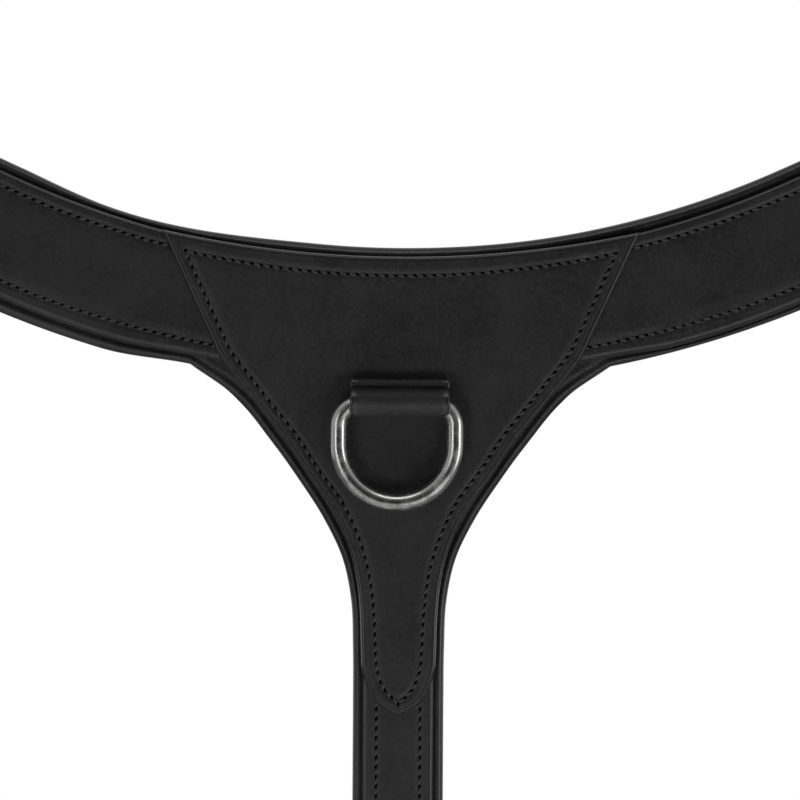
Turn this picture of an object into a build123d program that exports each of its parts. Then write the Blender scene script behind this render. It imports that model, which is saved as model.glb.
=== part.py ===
from build123d import *
from math import sin, cos, tan, asin, radians, degrees, sqrt
import os

os.makedirs("parts", exist_ok=True)

# Breastplate martingale: padded chest yoke, breast shield with dee, shoulder rings, elastic saddle
# straps with snap hooks, and a belly strap that ends in a buckled girth loop.
# Worn upright: +Z up, X across the chest, the front faces -Y.
# Origin: back face of the padding, straight behind the dee's bar.

# ---- driving dimensions, millimetres ----
LINING_T = 5.0                 # padded lining, finished thickness
FACE_T = 2.5                   # face leather of chest and belly straps
SHIELD_T = 2.0                 # breast shield leather
Y_LINING = -LINING_T
Y_FACE = Y_LINING - FACE_T
Y_SHIELD = Y_FACE - SHIELD_T

YOKE_C = 291.5                 # height of the chest curve's centre
R_LINING_TOP = 249.4
R_LINING_LOW = 286.7
R_FACE_TOP = 253.1
R_FACE_LOW = 281.7
ARM_SLOPE = 52.0               # slope where the arm runs straight
ARM_TAIL = 57.8                # straight end of the arm, seen from the front
FLAT_X = 110.0                 # the chest is flat out to here
WRAP_R = 190.0                 # then wraps back round the shoulder

RING_R = 16.25                 # shoulder ring, centreline
RING_WIRE = 2.25
DEE_HALF = 15.65               # dee, centreline half width
DEE_WIRE = 2.25
DEE_CORNER = 3.0
DEE_DROP = 10.7                # bar to the centre of the round end
CHAPE_T = 1.8                  # chape leather
FIT = 0.07                     # running clearance in leather folds and on bars

STRAP_W = 19.0                 # billet, belly and girth strap
STRAP_T = 2.3
ELASTIC_W = 22.0
BELLY_TOP = -42.0
BELLY_LINING_W = 24.6
BELLY_BEND_Z = -200.0
BELLY_BEND_R = 120.0
BELLY_TURN = 55.0

# ---- local frames ----
ARM_MID_R = (R_LINING_TOP + R_LINING_LOW) / 2
ARM_X = ARM_MID_R * sin(radians(ARM_SLOPE))
ARM_Z = YOKE_C - ARM_MID_R * cos(radians(ARM_SLOPE))
WRAP_TURN = degrees(asin((ARM_X - FLAT_X) / WRAP_R))
ARM_Y = WRAP_R * (1 - cos(radians(WRAP_TURN)))
along = Vector(1, tan(radians(WRAP_TURN)), tan(radians(ARM_SLOPE))).normalized()
outward = Vector(sin(radians(WRAP_TURN)), -cos(radians(WRAP_TURN)), 0)
RING_S = 84.0                  # ring centre past the start of the arm's straight end
RING_N = LINING_T + FACE_T + 0.1 + CHAPE_T
ring_at = Vector(ARM_X, ARM_Y, ARM_Z) + along * RING_S + outward * RING_N
BUCKLE_S = 215.0               # saddle buckle bar past the ring centre
HOOK_S = BUCKLE_S + 100.0      # hook eye bar past the ring centre
HOOK_N = -1.83

turn = radians(BELLY_TURN)
belly_end = Vector(0, BELLY_BEND_R * (1 - cos(turn)), BELLY_BEND_Z - BELLY_BEND_R * sin(turn))
belly_along = Vector(0, sin(turn), -cos(turn))
belly_out = Vector(0, -cos(turn), -sin(turn))
GIRTH_BUCKLE_S = 130.0
GIRTH_BUCKLE_N = LINING_T + FACE_T + 0.1 + 2.25


def face_plane(origin, x_dir, z_dir):
    """Plane lying in a strap: x along it, z out of its face."""
    return Plane(origin=origin, x_dir=x_dir, z_dir=z_dir)


def side_plane(at):
    """Plane through a strap's middle, seen from its edge: x along it, y out of its face."""
    return Plane(origin=at.origin, x_dir=at.x_dir, z_dir=-at.y_dir)


def shifted(at, s, n=0.0):
    return Plane(origin=at.origin + at.x_dir * s + at.z_dir * n, x_dir=at.x_dir, z_dir=at.z_dir)


def offset_points(path, d):
    """The points of a path moved sideways by d."""
    out = []
    for i, p in enumerate(path):
        a = path[max(i - 1, 0)]
        b = path[min(i + 1, len(path) - 1)]
        dx, dy = b[0] - a[0], b[1] - a[1]
        k = d / sqrt(dx * dx + dy * dy)
        out.append((p[0] - dy * k, p[1] + dx * k))
    return out


def band(path, t):
    """Closed outline of a strap of thickness t along a path, for the current sketch."""
    upper = offset_points(path, t / 2)
    lower = offset_points(path, -t / 2)
    with BuildLine() as edge:
        Spline(*upper)
        Spline(*lower)
        Line(upper[0], lower[0])
        Line(upper[-1], lower[-1])
    make_face(edge.edges())


def polar(r, a):
    """Point of the chest curve at radius r, a degrees from straight down."""
    return (r * sin(radians(a)), YOKE_C - r * cos(radians(a)))


def arm_points(side, half):
    """Edge of the narrowing arm, side +1 low edge, -1 top edge, half = its half width at the tail."""
    r = ARM_MID_R + side * half
    start = polar(r, ARM_SLOPE)
    d = (cos(radians(ARM_SLOPE)), sin(radians(ARM_SLOPE)))
    return start, (start[0] + d[0] * ARM_TAIL, start[1] + d[1] * ARM_TAIL), d


def wrapped_prism(front, back):
    """Keep only the part between two depths of the curved chest, measured from the lining's back."""
    reach = 140.0
    c, s = cos(radians(WRAP_TURN)), sin(radians(WRAP_TURN))
    with BuildSketch(Plane.XY.offset(-260)) as plan:
        with BuildLine():
            for m in (1, -1):
                for d in (front, back):
                    arc_end = (m * (FLAT_X + (WRAP_R - d) * s), WRAP_R - (WRAP_R - d) * c)
                    mid = radians(WRAP_TURN / 2)
                    mid_pt = (m * (FLAT_X + (WRAP_R - d) * sin(mid)), WRAP_R - (WRAP_R - d) * cos(mid))
                    Line((0, d), (m * FLAT_X, d))
                    ThreePointArc((m * FLAT_X, d), mid_pt, arc_end)
                    Line(arc_end, (arc_end[0] + m * c * reach, arc_end[1] + s * reach))
                far_x = FLAT_X + c * reach
                Line((m * (far_x + (WRAP_R - front) * s), WRAP_R - (WRAP_R - front) * c + s * reach),
                     (m * (far_x + (WRAP_R - back) * s), WRAP_R - (WRAP_R - back) * c + s * reach))
        make_face()
    extrude(plan.sketch, amount=600, mode=Mode.INTERSECT)


V_EDGE = [(57.0, 10.53), (43.9, 1.0), (35.2, -9.7), (27.4, -20.5), (20.4, -31.3), (15.3, -42.1),
          (13.0, -52.9), (12.4, -66.0), (12.3, -80.0)]
SHIELD_EDGE = [(64.5, 46.7), (54.6, 25.0), (48.7, 12.2), (37.9, -1.4), (30.6, -10.5), (24.6, -19.7),
               (18.4, -28.1), (15.3, -34.3), (12.7, -41.6), (11.0, -50.0), (10.4, -57.2), (10.1, -67.0),
               (9.9, -71.0), (8.1, -77.0), (5.4, -80.9), (0.0, -84.1)]
LINING_FOOT = -118.0


def lining_outline(inset):
    """Half of the padded lining's front outline, pulled in by inset."""
    top0 = polar(R_LINING_TOP + inset, 0)
    top1 = polar(R_LINING_TOP + inset, 12)
    top2 = polar(R_LINING_TOP + inset, 24)
    low2 = polar(R_LINING_LOW - inset, 24)
    start_a = 11.47
    low0 = polar(R_LINING_LOW - inset, start_a)
    low1 = polar(R_LINING_LOW - inset, 18)
    tail = 12.4 - inset
    ts, te, d = arm_points(-1, tail)
    ls, le, d = arm_points(1, tail)
    te = (te[0] - d[0] * (14.0 + inset), te[1] - d[1] * (14.0 + inset))
    le = (le[0] - d[0] * (14.0 + inset), le[1] - d[1] * (14.0 + inset))
    cap = ((te[0] + le[0]) / 2 + d[0] * tail * 0.8, (te[1] + le[1]) / 2 + d[1] * tail * 0.8)
    v = [(x - inset * 0.82 if z > -45 else x - inset, z + inset * 0.6 if z > -45 else z) for x, z in V_EDGE]
    v[0] = low0
    with BuildLine() as edge:
        ThreePointArc(top0, top1, top2)
        Spline(top2, ts, tangents=[(cos(radians(24)), sin(radians(24))), d])
        Line(ts, te)
        ThreePointArc(te, cap, le)
        Line(le, ls)
        Spline(ls, low2, tangents=[(-d[0], -d[1]), (-cos(radians(24)), -sin(radians(24)))])
        ThreePointArc(low2, low1, low0)
        a = radians(start_a)
        Spline(*v, tangents=[(-cos(a), -sin(a)), (0, -1)])
        Line(v[-1], (v[-1][0], LINING_FOOT))
        Line((v[-1][0], LINING_FOOT), (0, LINING_FOOT))
        Line((0, LINING_FOOT), top0)
    make_face(edge.edges())


# ---- chest yoke ----
with BuildPart() as chest_lining:
    with BuildSketch(Plane.XZ):
        lining_outline(0)
        mirror(about=Plane.YZ)
    extrude(amount=150, both=True)
    wrapped_prism(Y_LINING, 0)
    with BuildPart(mode=Mode.PRIVATE) as pocket:
        with BuildSketch(Plane.XZ):
            lining_outline(6.0)
            mirror(about=Plane.YZ)
        extrude(amount=150, both=True)
        wrapped_prism(Y_LINING - 1, -1.3)
    add(pocket.part, mode=Mode.SUBTRACT)
chest_lining.part.label = "chest_lining"

with BuildPart() as chest_padding:
    with BuildSketch(Plane.XZ):
        lining_outline(6.3)
        mirror(about=Plane.YZ)
    extrude(amount=150, both=True)
    wrapped_prism(Y_LINING + 0.05, -1.35)
chest_padding.part.label = "chest_padding"


def chest_strap(m):
    """One face strap of the yoke, m = +1 right, -1 left."""
    gap = 0.1
    tail = 10.4
    ts, te, d = arm_points(-1, tail)
    ls, le, d = arm_points(1, tail)
    cap = ((te[0] + le[0]) / 2 + d[0] * 4.0, (te[1] + le[1]) / 2 + d[1] * 4.0)
    top2 = polar(R_FACE_TOP, 24)
    low2 = polar(R_FACE_LOW, 24)
    with BuildPart() as strap:
        with BuildSketch(Plane.XZ):
            with BuildLine():
                ThreePointArc((gap, YOKE_C - R_FACE_TOP), polar(R_FACE_TOP, 12), top2)
                Spline(top2, ts, tangents=[(cos(radians(24)), sin(radians(24))), d])
                Line(ts, te)
                ThreePointArc(te, cap, le)
                Line(le, ls)
                Spline(ls, low2, tangents=[(-d[0], -d[1]), (-cos(radians(24)), -sin(radians(24)))])
                ThreePointArc(low2, polar(R_FACE_LOW, 12), (gap, YOKE_C - R_FACE_LOW))
                Line((gap, YOKE_C - R_FACE_LOW), (gap, YOKE_C - R_FACE_TOP))
            make_face()
        extrude(amount=150, both=True)
        wrapped_prism(Y_FACE, Y_LINING)
    if m > 0:
        return strap.part
    with BuildPart() as left:
        mirror(strap.part, about=Plane.YZ)
    return left.part


chest_strap_right = chest_strap(1)
chest_strap_right.label = "chest_strap_right"
chest_strap_left = chest_strap(-1)
chest_strap_left.label = "chest_strap_left"

# stiffener under the shield, between the chest straps and the belly strap
with BuildPart() as yoke_stiffener:
    with BuildSketch(Plane.XZ.offset(-Y_LINING)):
        with BuildLine():
            ThreePointArc((-38.0, 12.15), (0, YOKE_C - R_FACE_LOW - 0.4), (38.0, 12.15))
            Spline((38.0, 12.15), (35.8, -1.0), (28.4, -10.5), (22.4, -19.7), (16.2, -28.1),
                   (12.8, -34.3), (10.4, -41.6))
            Line((10.4, -41.6), (-10.4, -41.6))
            Spline((-10.4, -41.6), (-12.8, -34.3), (-16.2, -28.1), (-22.4, -19.7), (-28.4, -10.5),
                   (-35.8, -1.0), (-38.0, 12.15))
        make_face()
    extrude(amount=FACE_T)
yoke_stiffener.part.label = "yoke_stiffener"

# ---- breast shield, dee and its keeper ----
SLIT_LOW = 4.6
SLIT_HIGH = 6.5
KEEPER_HALF = 13.0
BAR_Y = Y_SHIELD - CHAPE_T - DEE_WIRE - FIT
with BuildPart() as breast_shield:
    with BuildSketch(Plane.XZ.offset(-Y_FACE)):
        with BuildLine():
            ThreePointArc((-64.5, 46.7), (0, 39.7), (64.5, 46.7))
            Line(SHIELD_EDGE[0], SHIELD_EDGE[2])
            Spline(*SHIELD_EDGE[2:14])
            Spline(*SHIELD_EDGE[13:16], tangents=[(-0.6, -0.8), (-1, -0.4)])
            mirror(about=Plane.YZ)
        make_face()
        with Locations((0, (SLIT_LOW + SLIT_HIGH) / 2)):
            Rectangle(2 * KEEPER_HALF + 0.4, SLIT_HIGH - SLIT_LOW + 0.2, mode=Mode.SUBTRACT)
    extrude(amount=SHIELD_T)
breast_shield.part.label = "breast_shield"

# leather folded round the bar, both legs drawn through the slit
with BuildPart() as dee_keeper:
    with BuildSketch(Plane.YZ):
        with BuildLine():
            Polyline((BAR_Y - 4.0, 0.6), (BAR_Y - 3.6, 2.2), (BAR_Y - 2.4, 4.0), (BAR_Y - 1.0, 5.4),
                     (BAR_Y + 0.6, 6.3), (Y_SHIELD - 1.0, SLIT_HIGH), (Y_FACE - 0.05, SLIT_HIGH),
                     (Y_FACE - 0.05, SLIT_LOW), (Y_SHIELD - 0.05, SLIT_LOW), (Y_SHIELD - 0.05, -1.2),
                     (BAR_Y + 3.0, -2.0), (BAR_Y, 0), close=True)
        make_face()
        with Locations((BAR_Y, 0)):
            Circle(DEE_WIRE + FIT + CHAPE_T - 0.05)
            Circle(DEE_WIRE + FIT, mode=Mode.SUBTRACT)
    extrude(amount=KEEPER_HALF, both=True)
dee_keeper.part.label = "dee_keeper"

with BuildPart() as dee_ring:
    with BuildLine(Plane.XZ.offset(-BAR_Y)) as dee_path:
        c = DEE_CORNER
        k = c * (1 - sqrt(0.5))
        Line((-DEE_HALF + c, 0), (DEE_HALF - c, 0))
        ThreePointArc((DEE_HALF - c, 0), (DEE_HALF - k, -k), (DEE_HALF, -c))
        Line((DEE_HALF, -c), (DEE_HALF, -DEE_DROP))
        ThreePointArc((DEE_HALF, -DEE_DROP), (0, -DEE_DROP - DEE_HALF), (-DEE_HALF, -DEE_DROP))
        Line((-DEE_HALF, -DEE_DROP), (-DEE_HALF, -c))
        ThreePointArc((-DEE_HALF, -c), (-DEE_HALF + k, -k), (-DEE_HALF + c, 0))
    with BuildSketch(Plane(origin=(-DEE_HALF + c, BAR_Y, 0), z_dir=(1, 0, 0))):
        Circle(DEE_WIRE)
    sweep(path=dee_path.wires()[0])
dee_ring.part.label = "dee_ring"


def belly_band(near, far, top, straight):
    """Side outline of a strap down the belly: near and far are its depths from the lining's back."""
    c, s = cos(turn), sin(turn)
    hc, hs = cos(turn / 2), sin(turn / 2)
    with BuildLine() as edge:
        ends = []
        for d in (near, far):
            r = BELLY_BEND_R + d
            arc_end = (BELLY_BEND_R - r * c, BELLY_BEND_Z - r * s)
            last = (arc_end[0] + s * straight, arc_end[1] - c * straight)
            Line((-d, top), (-d, BELLY_BEND_Z))
            ThreePointArc((-d, BELLY_BEND_Z), (BELLY_BEND_R - r * hc, BELLY_BEND_Z - r * hs), arc_end)
            Line(arc_end, last)
            ends.append(last)
        Line((-near, top), (-far, top))
        Line(ends[0], ends[1])
    make_face(edge.edges())


with BuildPart() as belly_lining:
    with BuildSketch(Plane.YZ):
        belly_band(0.0, LINING_T, LINING_FOOT - 0.05, 40.0)
    extrude(amount=BELLY_LINING_W / 2, both=True)
belly_lining.part.label = "belly_lining"

with BuildPart() as belly_strap:
    with BuildSketch(Plane.YZ):
        belly_band(LINING_T, LINING_T + FACE_T, BELLY_TOP, GIRTH_BUCKLE_S - 50.0)
    extrude(amount=STRAP_W / 2, both=True)
belly_strap.part.label = "belly_strap"

# ---- right arm end ----
tug = face_plane(ring_at, along, outward)


def plan_cut(at, half_w, s0, s1, depth=12.0):
    """Cut a straight slot through a strap."""
    with BuildSketch(at) as slot:
        with Locations(((s0 + s1) / 2, 0)):
            Rectangle(s1 - s0, 2 * half_w)
    extrude(slot.sketch, amount=depth, both=True, mode=Mode.SUBTRACT)


CUFF_TURN = 34.0               # the fold follows the ring this far each side


def ring_cuff(at, direction, reach, width):
    """Leather folded round the shoulder ring, with two leaves running away from it."""
    half = CHAPE_T + 0.02
    far = direction * (RING_R + reach)
    with BuildPart() as cuff:
        with BuildSketch(at.offset(-half)):
            with Locations((direction * (RING_R + reach / 2), 0)):
                Rectangle(reach, width)
        extrude(amount=2 * half)
        a = radians(-CUFF_TURN)
        x_dir = (at.x_dir * cos(a) + at.y_dir * sin(a)) * direction
        with BuildSketch(Plane(origin=at.origin, x_dir=x_dir, z_dir=at.z_dir.cross(x_dir) * -1)):
            with Locations((RING_R, 0)):
                Circle(RING_WIRE + FIT + CHAPE_T)
        revolve(axis=Axis(at.origin, at.z_dir), revolution_arc=2 * CUFF_TURN)
        with BuildSketch(side_plane(at)):
            with Locations((RING_R, 0)):
                Circle(RING_WIRE + FIT)
        revolve(axis=Axis(at.origin, at.z_dir), revolution_arc=360, mode=Mode.SUBTRACT)
    return cuff.part, far


def shoulder_ring(at):
    with BuildPart() as ring:
        with BuildSketch(side_plane(at)):
            with Locations((RING_R, 0)):
                Circle(RING_WIRE)
        revolve(axis=Axis(at.origin, at.z_dir), revolution_arc=360)
    return ring.part


def ring_chape(at):
    return ring_cuff(at, -1, 56.0, 20.0)[0]


def elastic_chape(at):
    """Chape from ring to elastic, with a pocket for the elastic's end."""
    body = ring_cuff(at, 1, 34.0, 20.0)[0]
    s0 = RING_R + 30.0
    with BuildPart() as chape:
        add(body)
        with BuildSketch(at.offset(-2.25)):
            with Locations((s0 + 11.0, 0)):
                Rectangle(22.0, 25.4)
        extrude(amount=4.5)
        with BuildSketch(at.offset(-1.03)):
            with Locations((s0 + 14.0, 0)):
                Rectangle(20.0, ELASTIC_W + 0.1)
        extrude(amount=2.06, mode=Mode.SUBTRACT)
    return chape.part


ELASTIC_0 = RING_R + 34.2
ELASTIC_1 = BUCKLE_S - 46.4


def elastic(at):
    with BuildPart() as band_part:
        with BuildSketch(at.offset(-1.0)):
            with Locations(((ELASTIC_0 + ELASTIC_1) / 2, 0)):
                Rectangle(ELASTIC_1 - ELASTIC_0, ELASTIC_W)
        extrude(amount=2.0)
    return band_part.part


# ---- buckle set, origin on the heel bar ----
BAR_R = 1.5
FAR_S = 24.0
FAR_N = 3.5
ROLLER_R = 2.6
CUFF_R = 3.8


def buckle_chape(at, length, pocket):
    """Leather folded round the heel bar, slotted for the tongue."""
    with BuildPart() as chape:
        with BuildSketch(side_plane(at)):
            with Locations((-length / 2, 0)):
                Rectangle(length, 4.5)
            Circle(CUFF_R)
            Circle(BAR_R + 0.05, mode=Mode.SUBTRACT)
        extrude(amount=STRAP_W / 2, both=True)
        plan_cut(at, 2.2, -7.0, 5.0)
        if pocket:
            with BuildSketch(at.offset(-2.25)):
                with Locations((-length + 8.5, 0)):
                    Rectangle(17.0, 25.4)
            extrude(amount=4.5)
            with BuildSketch(at.offset(-1.03)):
                with Locations((-length + 6.0, 0)):
                    Rectangle(16.0, ELASTIC_W + 0.1)
            extrude(amount=2.06, mode=Mode.SUBTRACT)
    return chape.part


def buckle_frame(at):
    side = side_plane(at)
    with BuildPart() as frame:
        with BuildSketch(side):
            Circle(BAR_R)
            with Locations((FAR_S, FAR_N)):
                Circle(BAR_R)
        extrude(amount=11.0, both=True)
        for m in (1, -1):
            with BuildSketch(side.offset(m * 11.7)):
                with BuildSketch(mode=Mode.PRIVATE) as ends:
                    Circle(2.5)
                    with Locations((FAR_S, FAR_N)):
                        Circle(2.7)
                make_hull(ends.sketch.edges())
            extrude(amount=1.35, both=True)
    return frame.part


def buckle_roller(at):
    with BuildPart() as roller:
        with BuildSketch(side_plane(at)):
            with Locations((FAR_S, FAR_N)):
                Circle(ROLLER_R)
                Circle(BAR_R + FIT, mode=Mode.SUBTRACT)
        extrude(amount=10.0, both=True)
    return roller.part


TONGUE_PATH = [(1.6, 0.9), (4.0, 1.7), (8.0, 3.5), (12.0, 5.2), (17.0, 6.7), (21.0, 7.35), (26.8, 7.45)]


def buckle_tongue(at):
    with BuildPart() as tongue:
        with BuildSketch(side_plane(at)):
            band(TONGUE_PATH, 1.8)
            Circle(2.9)
            Circle(BAR_R + 0.06, mode=Mode.SUBTRACT)
        extrude(amount=1.5, both=True)
    return tongue.part


KEEPER_LOW = -2.6
KEEPER_TOP = 5.25


def keeper_loop(at, s0, s1):
    """Flat leather loop round the chape and the strap that lies on it."""
    with BuildPart() as keeper:
        cross = Plane(origin=at.origin + at.x_dir * s0, x_dir=at.y_dir, z_dir=at.x_dir)
        mid = (KEEPER_LOW + KEEPER_TOP) / 2
        with BuildSketch(cross):
            with Locations((0, mid)):
                RectangleRounded(2 * 11.3, KEEPER_TOP - KEEPER_LOW + 2.8, 1.6)
                Rectangle(2 * 9.9, KEEPER_TOP - KEEPER_LOW, mode=Mode.SUBTRACT)
        extrude(amount=s1 - s0)
    return keeper.part


FIXED_S = (-24.0, -16.0)
RUNNING_S = (-40.0, -32.0)
OVER_BUCKLE = [(-84.0, 3.6), (-60.0, 3.6), (-40.0, 3.6), (-24.0, 3.6), (-14.0, 3.7), (-7.0, 4.7), (-2.5, 5.3),
               (2.0, 5.15), (6.0, 4.15), (10.5, 2.3), (15.0, 0.4), (19.5, -0.55), (25.0, -0.7)]
HOLES_S = (-67.0, -42.0, -17.0, 33.0, 58.0)


def strap_holes(at, places):
    plan_cut(at, 2.3, 2.6, 14.4)
    with BuildSketch(at) as holes:
        with Locations(*[(s, 0) for s in places]):
            Circle(2.1)
    extrude(holes.sketch, amount=14.0, both=True, mode=Mode.SUBTRACT)


def pointed_tip(at, s_tip):
    """Trim a strap's free end to a blunt point."""
    with BuildSketch(at) as waste:
        with BuildLine():
            Polyline((s_tip - 2, -12), (s_tip - 2, 12), (s_tip + 9, 12), (s_tip + 9, 9.5), (s_tip + 3.2, 7.0),
                     (s_tip, 3.0), (s_tip, -3.0), (s_tip + 3.2, -7.0), (s_tip + 9, -9.5), (s_tip + 9, -12),
                     close=True)
        make_face()
    extrude(waste.sketch, amount=14.0, both=True, mode=Mode.SUBTRACT)


def billet_strap(at):
    """Billet from the hook's eye through the buckle to its tip, at = buckle plane."""
    eye = HOOK_S - BUCKLE_S
    with BuildPart() as billet:
        with BuildSketch(side_plane(at)):
            band(OVER_BUCKLE + [(40.0, -0.7), (60.0, -0.7), (80.0, -0.7), (eye, -0.7)], STRAP_T)
            with Locations(((62.0 + eye) / 2, -2.98)):
                Rectangle(eye - 62.0, 2.4)
            with Locations((eye, HOOK_N)):
                Circle(4.3)
                Circle(2.0 + FIT, mode=Mode.SUBTRACT)
        extrude(amount=STRAP_W / 2, both=True)
        strap_holes(at, HOLES_S)
        pointed_tip(at, -84.0)
    return billet.part


# ---- snap hook, origin on the eye's bar ----
BOLT_C = 8.0
HOOK_WIRE = 2.75


def hook_eye(at):
    with BuildPart() as eye:
        with BuildSketch(side_plane(at)):
            Circle(2.0)
        extrude(amount=12.0, both=True)
        for m in (1, -1):
            with BuildSketch(side_plane(at).offset(m * 12.0)):
                with Locations((7.5, 0)):
                    SlotOverall(19.0, 4.0)
            extrude(amount=2.0, both=True)
        with BuildSketch(at.offset(-3.6)):
            with Locations((15.0, 0)):
                RectangleRounded(4.0, 27.6, 1.5)
        extrude(amount=7.2)
        with BuildSketch(Plane(origin=at.origin + at.x_dir * 12.0, x_dir=at.y_dir, z_dir=at.x_dir)):
            Circle(2.6)
        extrude(amount=8.0, mode=Mode.SUBTRACT)
    return eye.part


def hook_body(at):
    cross = Plane(origin=at.origin, x_dir=at.y_dir, z_dir=at.x_dir)
    with BuildPart() as body:
        with BuildSketch(cross.offset(9.6)):
            Circle(4.2)
        extrude(amount=3.0)
        with BuildSketch(cross.offset(12.0)):
            Circle(2.53)
        extrude(amount=7.0)
        with BuildSketch(cross.offset(17.4)):
            Circle(6.0)
        extrude(amount=3.2)
        with BuildSketch(cross.offset(20.0)):
            RectangleRounded(2 * (BOLT_C + 4.2), 8.4, 3.5)
        extrude(amount=4.6)
        with BuildSketch(cross.offset(22.0)):
            with Locations((BOLT_C, 0)):
                Circle(4.2)
        extrude(amount=14.0)
        with BuildLine(at) as claw:
            Line((22.0, -BOLT_C), (50.0, -BOLT_C))
            ThreePointArc((50.0, -BOLT_C), (50.0 + BOLT_C, 0), (50.0, BOLT_C))
            Line((50.0, BOLT_C), (47.0, BOLT_C))
        with BuildSketch(cross.offset(22.0)):
            with Locations((-BOLT_C, 0)):
                Circle(HOOK_WIRE)
        sweep(path=claw.wires()[0])
        with BuildSketch(cross.offset(24.2)):
            with Locations((BOLT_C, 0)):
                Circle(2.1)
        extrude(amount=11.9, mode=Mode.SUBTRACT)
        with BuildSketch(at):
            with Locations((30.2, BOLT_C + 4.0)):
                Rectangle(12.0, 8.0)
        extrude(amount=1.9, both=True, mode=Mode.SUBTRACT)
    return body.part


def hook_bolt(at):
    cross = Plane(origin=at.origin, x_dir=at.y_dir, z_dir=at.x_dir)
    with BuildPart() as bolt:
        with BuildSketch(cross.offset(32.6)):
            with Locations((BOLT_C, 0)):
                Circle(2.03)
        extrude(amount=14.0)
        with BuildSketch(Plane(origin=at.origin + at.x_dir * 34.0 + at.y_dir * BOLT_C, z_dir=at.y_dir)):
            Circle(1.5)
        extrude(amount=7.5)
        with BuildSketch(Plane(origin=at.origin + at.x_dir * 34.0 + at.y_dir * (BOLT_C + 5.4), z_dir=at.y_dir)):
            Circle(2.4)
        extrude(amount=2.4)
    return bolt.part


def hook_spring(at):
    """Spring behind the bolt, as a plain sleeve."""
    cross = Plane(origin=at.origin, x_dir=at.y_dir, z_dir=at.x_dir)
    with BuildPart() as spring:
        with BuildSketch(cross.offset(24.3)):
            with Locations((BOLT_C, 0)):
                Circle(1.8)
                Circle(1.2, mode=Mode.SUBTRACT)
        extrude(amount=8.2)
    return spring.part


saddle_buckle = shifted(tug, BUCKLE_S)
hook_at = shifted(tug, HOOK_S, HOOK_N)
right_side = {
    "shoulder_ring": shoulder_ring(tug),
    "ring_chape": ring_chape(tug),
    "elastic_chape": elastic_chape(tug),
    "elastic": elastic(tug),
    "saddle_chape": buckle_chape(saddle_buckle, 60.0, True),
    "saddle_buckle": buckle_frame(saddle_buckle),
    "saddle_roller": buckle_roller(saddle_buckle),
    "saddle_tongue": buckle_tongue(saddle_buckle),
    "saddle_fixed_keeper": keeper_loop(saddle_buckle, *FIXED_S),
    "saddle_running_keeper": keeper_loop(saddle_buckle, *RUNNING_S),
    "saddle_billet": billet_strap(saddle_buckle),
    "hook_eye": hook_eye(hook_at),
    "hook_body": hook_body(hook_at),
    "hook_bolt": hook_bolt(hook_at),
    "hook_spring": hook_spring(hook_at),
}

# ---- girth loop ----
girth = face_plane(belly_end, belly_along, belly_out)
girth_buckle = shifted(girth, GIRTH_BUCKLE_S, GIRTH_BUCKLE_N)
LOOP_END = 130.0
LOOP_TOP = 14.0
LOOP_LOW = 3.65 - GIRTH_BUCKLE_N


def girth_loop(at):
    """Strap stitched under the belly strap, turned round the girth and buckled on itself."""
    r = (LOOP_TOP - LOOP_LOW) / 2
    mid = (LOOP_TOP + LOOP_LOW) / 2
    around = [(LOOP_END + r * sin(radians(a)), mid + r * cos(radians(a))) for a in (0, 30, 60, 90, 120, 150, 180)]
    path = OVER_BUCKLE + [(32.0, -0.2), (44.0, 2.6), (58.0, 7.4), (70.0, 11.2), (82.0, 13.4), (96.0, LOOP_TOP),
                          (114.0, LOOP_TOP)] + around
    path += [(110.0, LOOP_LOW), (60.0, LOOP_LOW), (0.0, LOOP_LOW), (-50.0, LOOP_LOW), (-86.0, LOOP_LOW)]
    with BuildPart() as loop:
        with BuildSketch(side_plane(at)):
            band(path, STRAP_T)
        extrude(amount=STRAP_W / 2, both=True)
        with BuildSketch(at.offset(-3.0)):
            with Locations((8.5, 0)):
                Rectangle(11.8, 4.6)
        extrude(amount=11.0, mode=Mode.SUBTRACT)
        with BuildSketch(at.offset(-3.0)):
            with Locations(*[(s, 0) for s in HOLES_S]):
                Circle(2.1)
        extrude(amount=14.0, mode=Mode.SUBTRACT)
        with BuildSketch(at.offset(1.0)):
            with BuildLine():
                t = -84.0
                Polyline((t - 2, -12), (t - 2, 12), (t + 9, 12), (t + 9, 9.5), (t + 3.2, 7.0), (t, 3.0),
                         (t, -3.0), (t + 3.2, -7.0), (t + 9, -9.5), (t + 9, -12), close=True)
            make_face()
        extrude(amount=10.0, mode=Mode.SUBTRACT)
    return loop.part


belly_set = {
    "girth_chape": buckle_chape(girth_buckle, 90.0, False),
    "girth_buckle": buckle_frame(girth_buckle),
    "girth_roller": buckle_roller(girth_buckle),
    "girth_tongue": buckle_tongue(girth_buckle),
    "girth_fixed_keeper": keeper_loop(girth_buckle, *FIXED_S),
    "girth_running_keeper": keeper_loop(girth_buckle, *RUNNING_S),
    "girth_loop": girth_loop(girth_buckle),
}

yoke = (chest_lining, chest_padding, yoke_stiffener, breast_shield, dee_keeper, dee_ring,
        belly_lining, belly_strap)
for made in yoke:
    export_step(made.part, "parts/" + made.part.label + ".step")
export_step(chest_strap_right, "parts/chest_strap_right.step")
export_step(chest_strap_left, "parts/chest_strap_left.step")
for name, shape in belly_set.items():
    shape.label = name
    export_step(shape, "parts/" + name + ".step")
for name, shape in right_side.items():
    shape.label = name + "_right"
    export_step(shape, "parts/" + name + "_right.step")
    with BuildPart() as other:
        mirror(shape, about=Plane.YZ)
    other.part.label = name + "_left"
    export_step(other.part, "parts/" + name + "_left.step")
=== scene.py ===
import math

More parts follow.
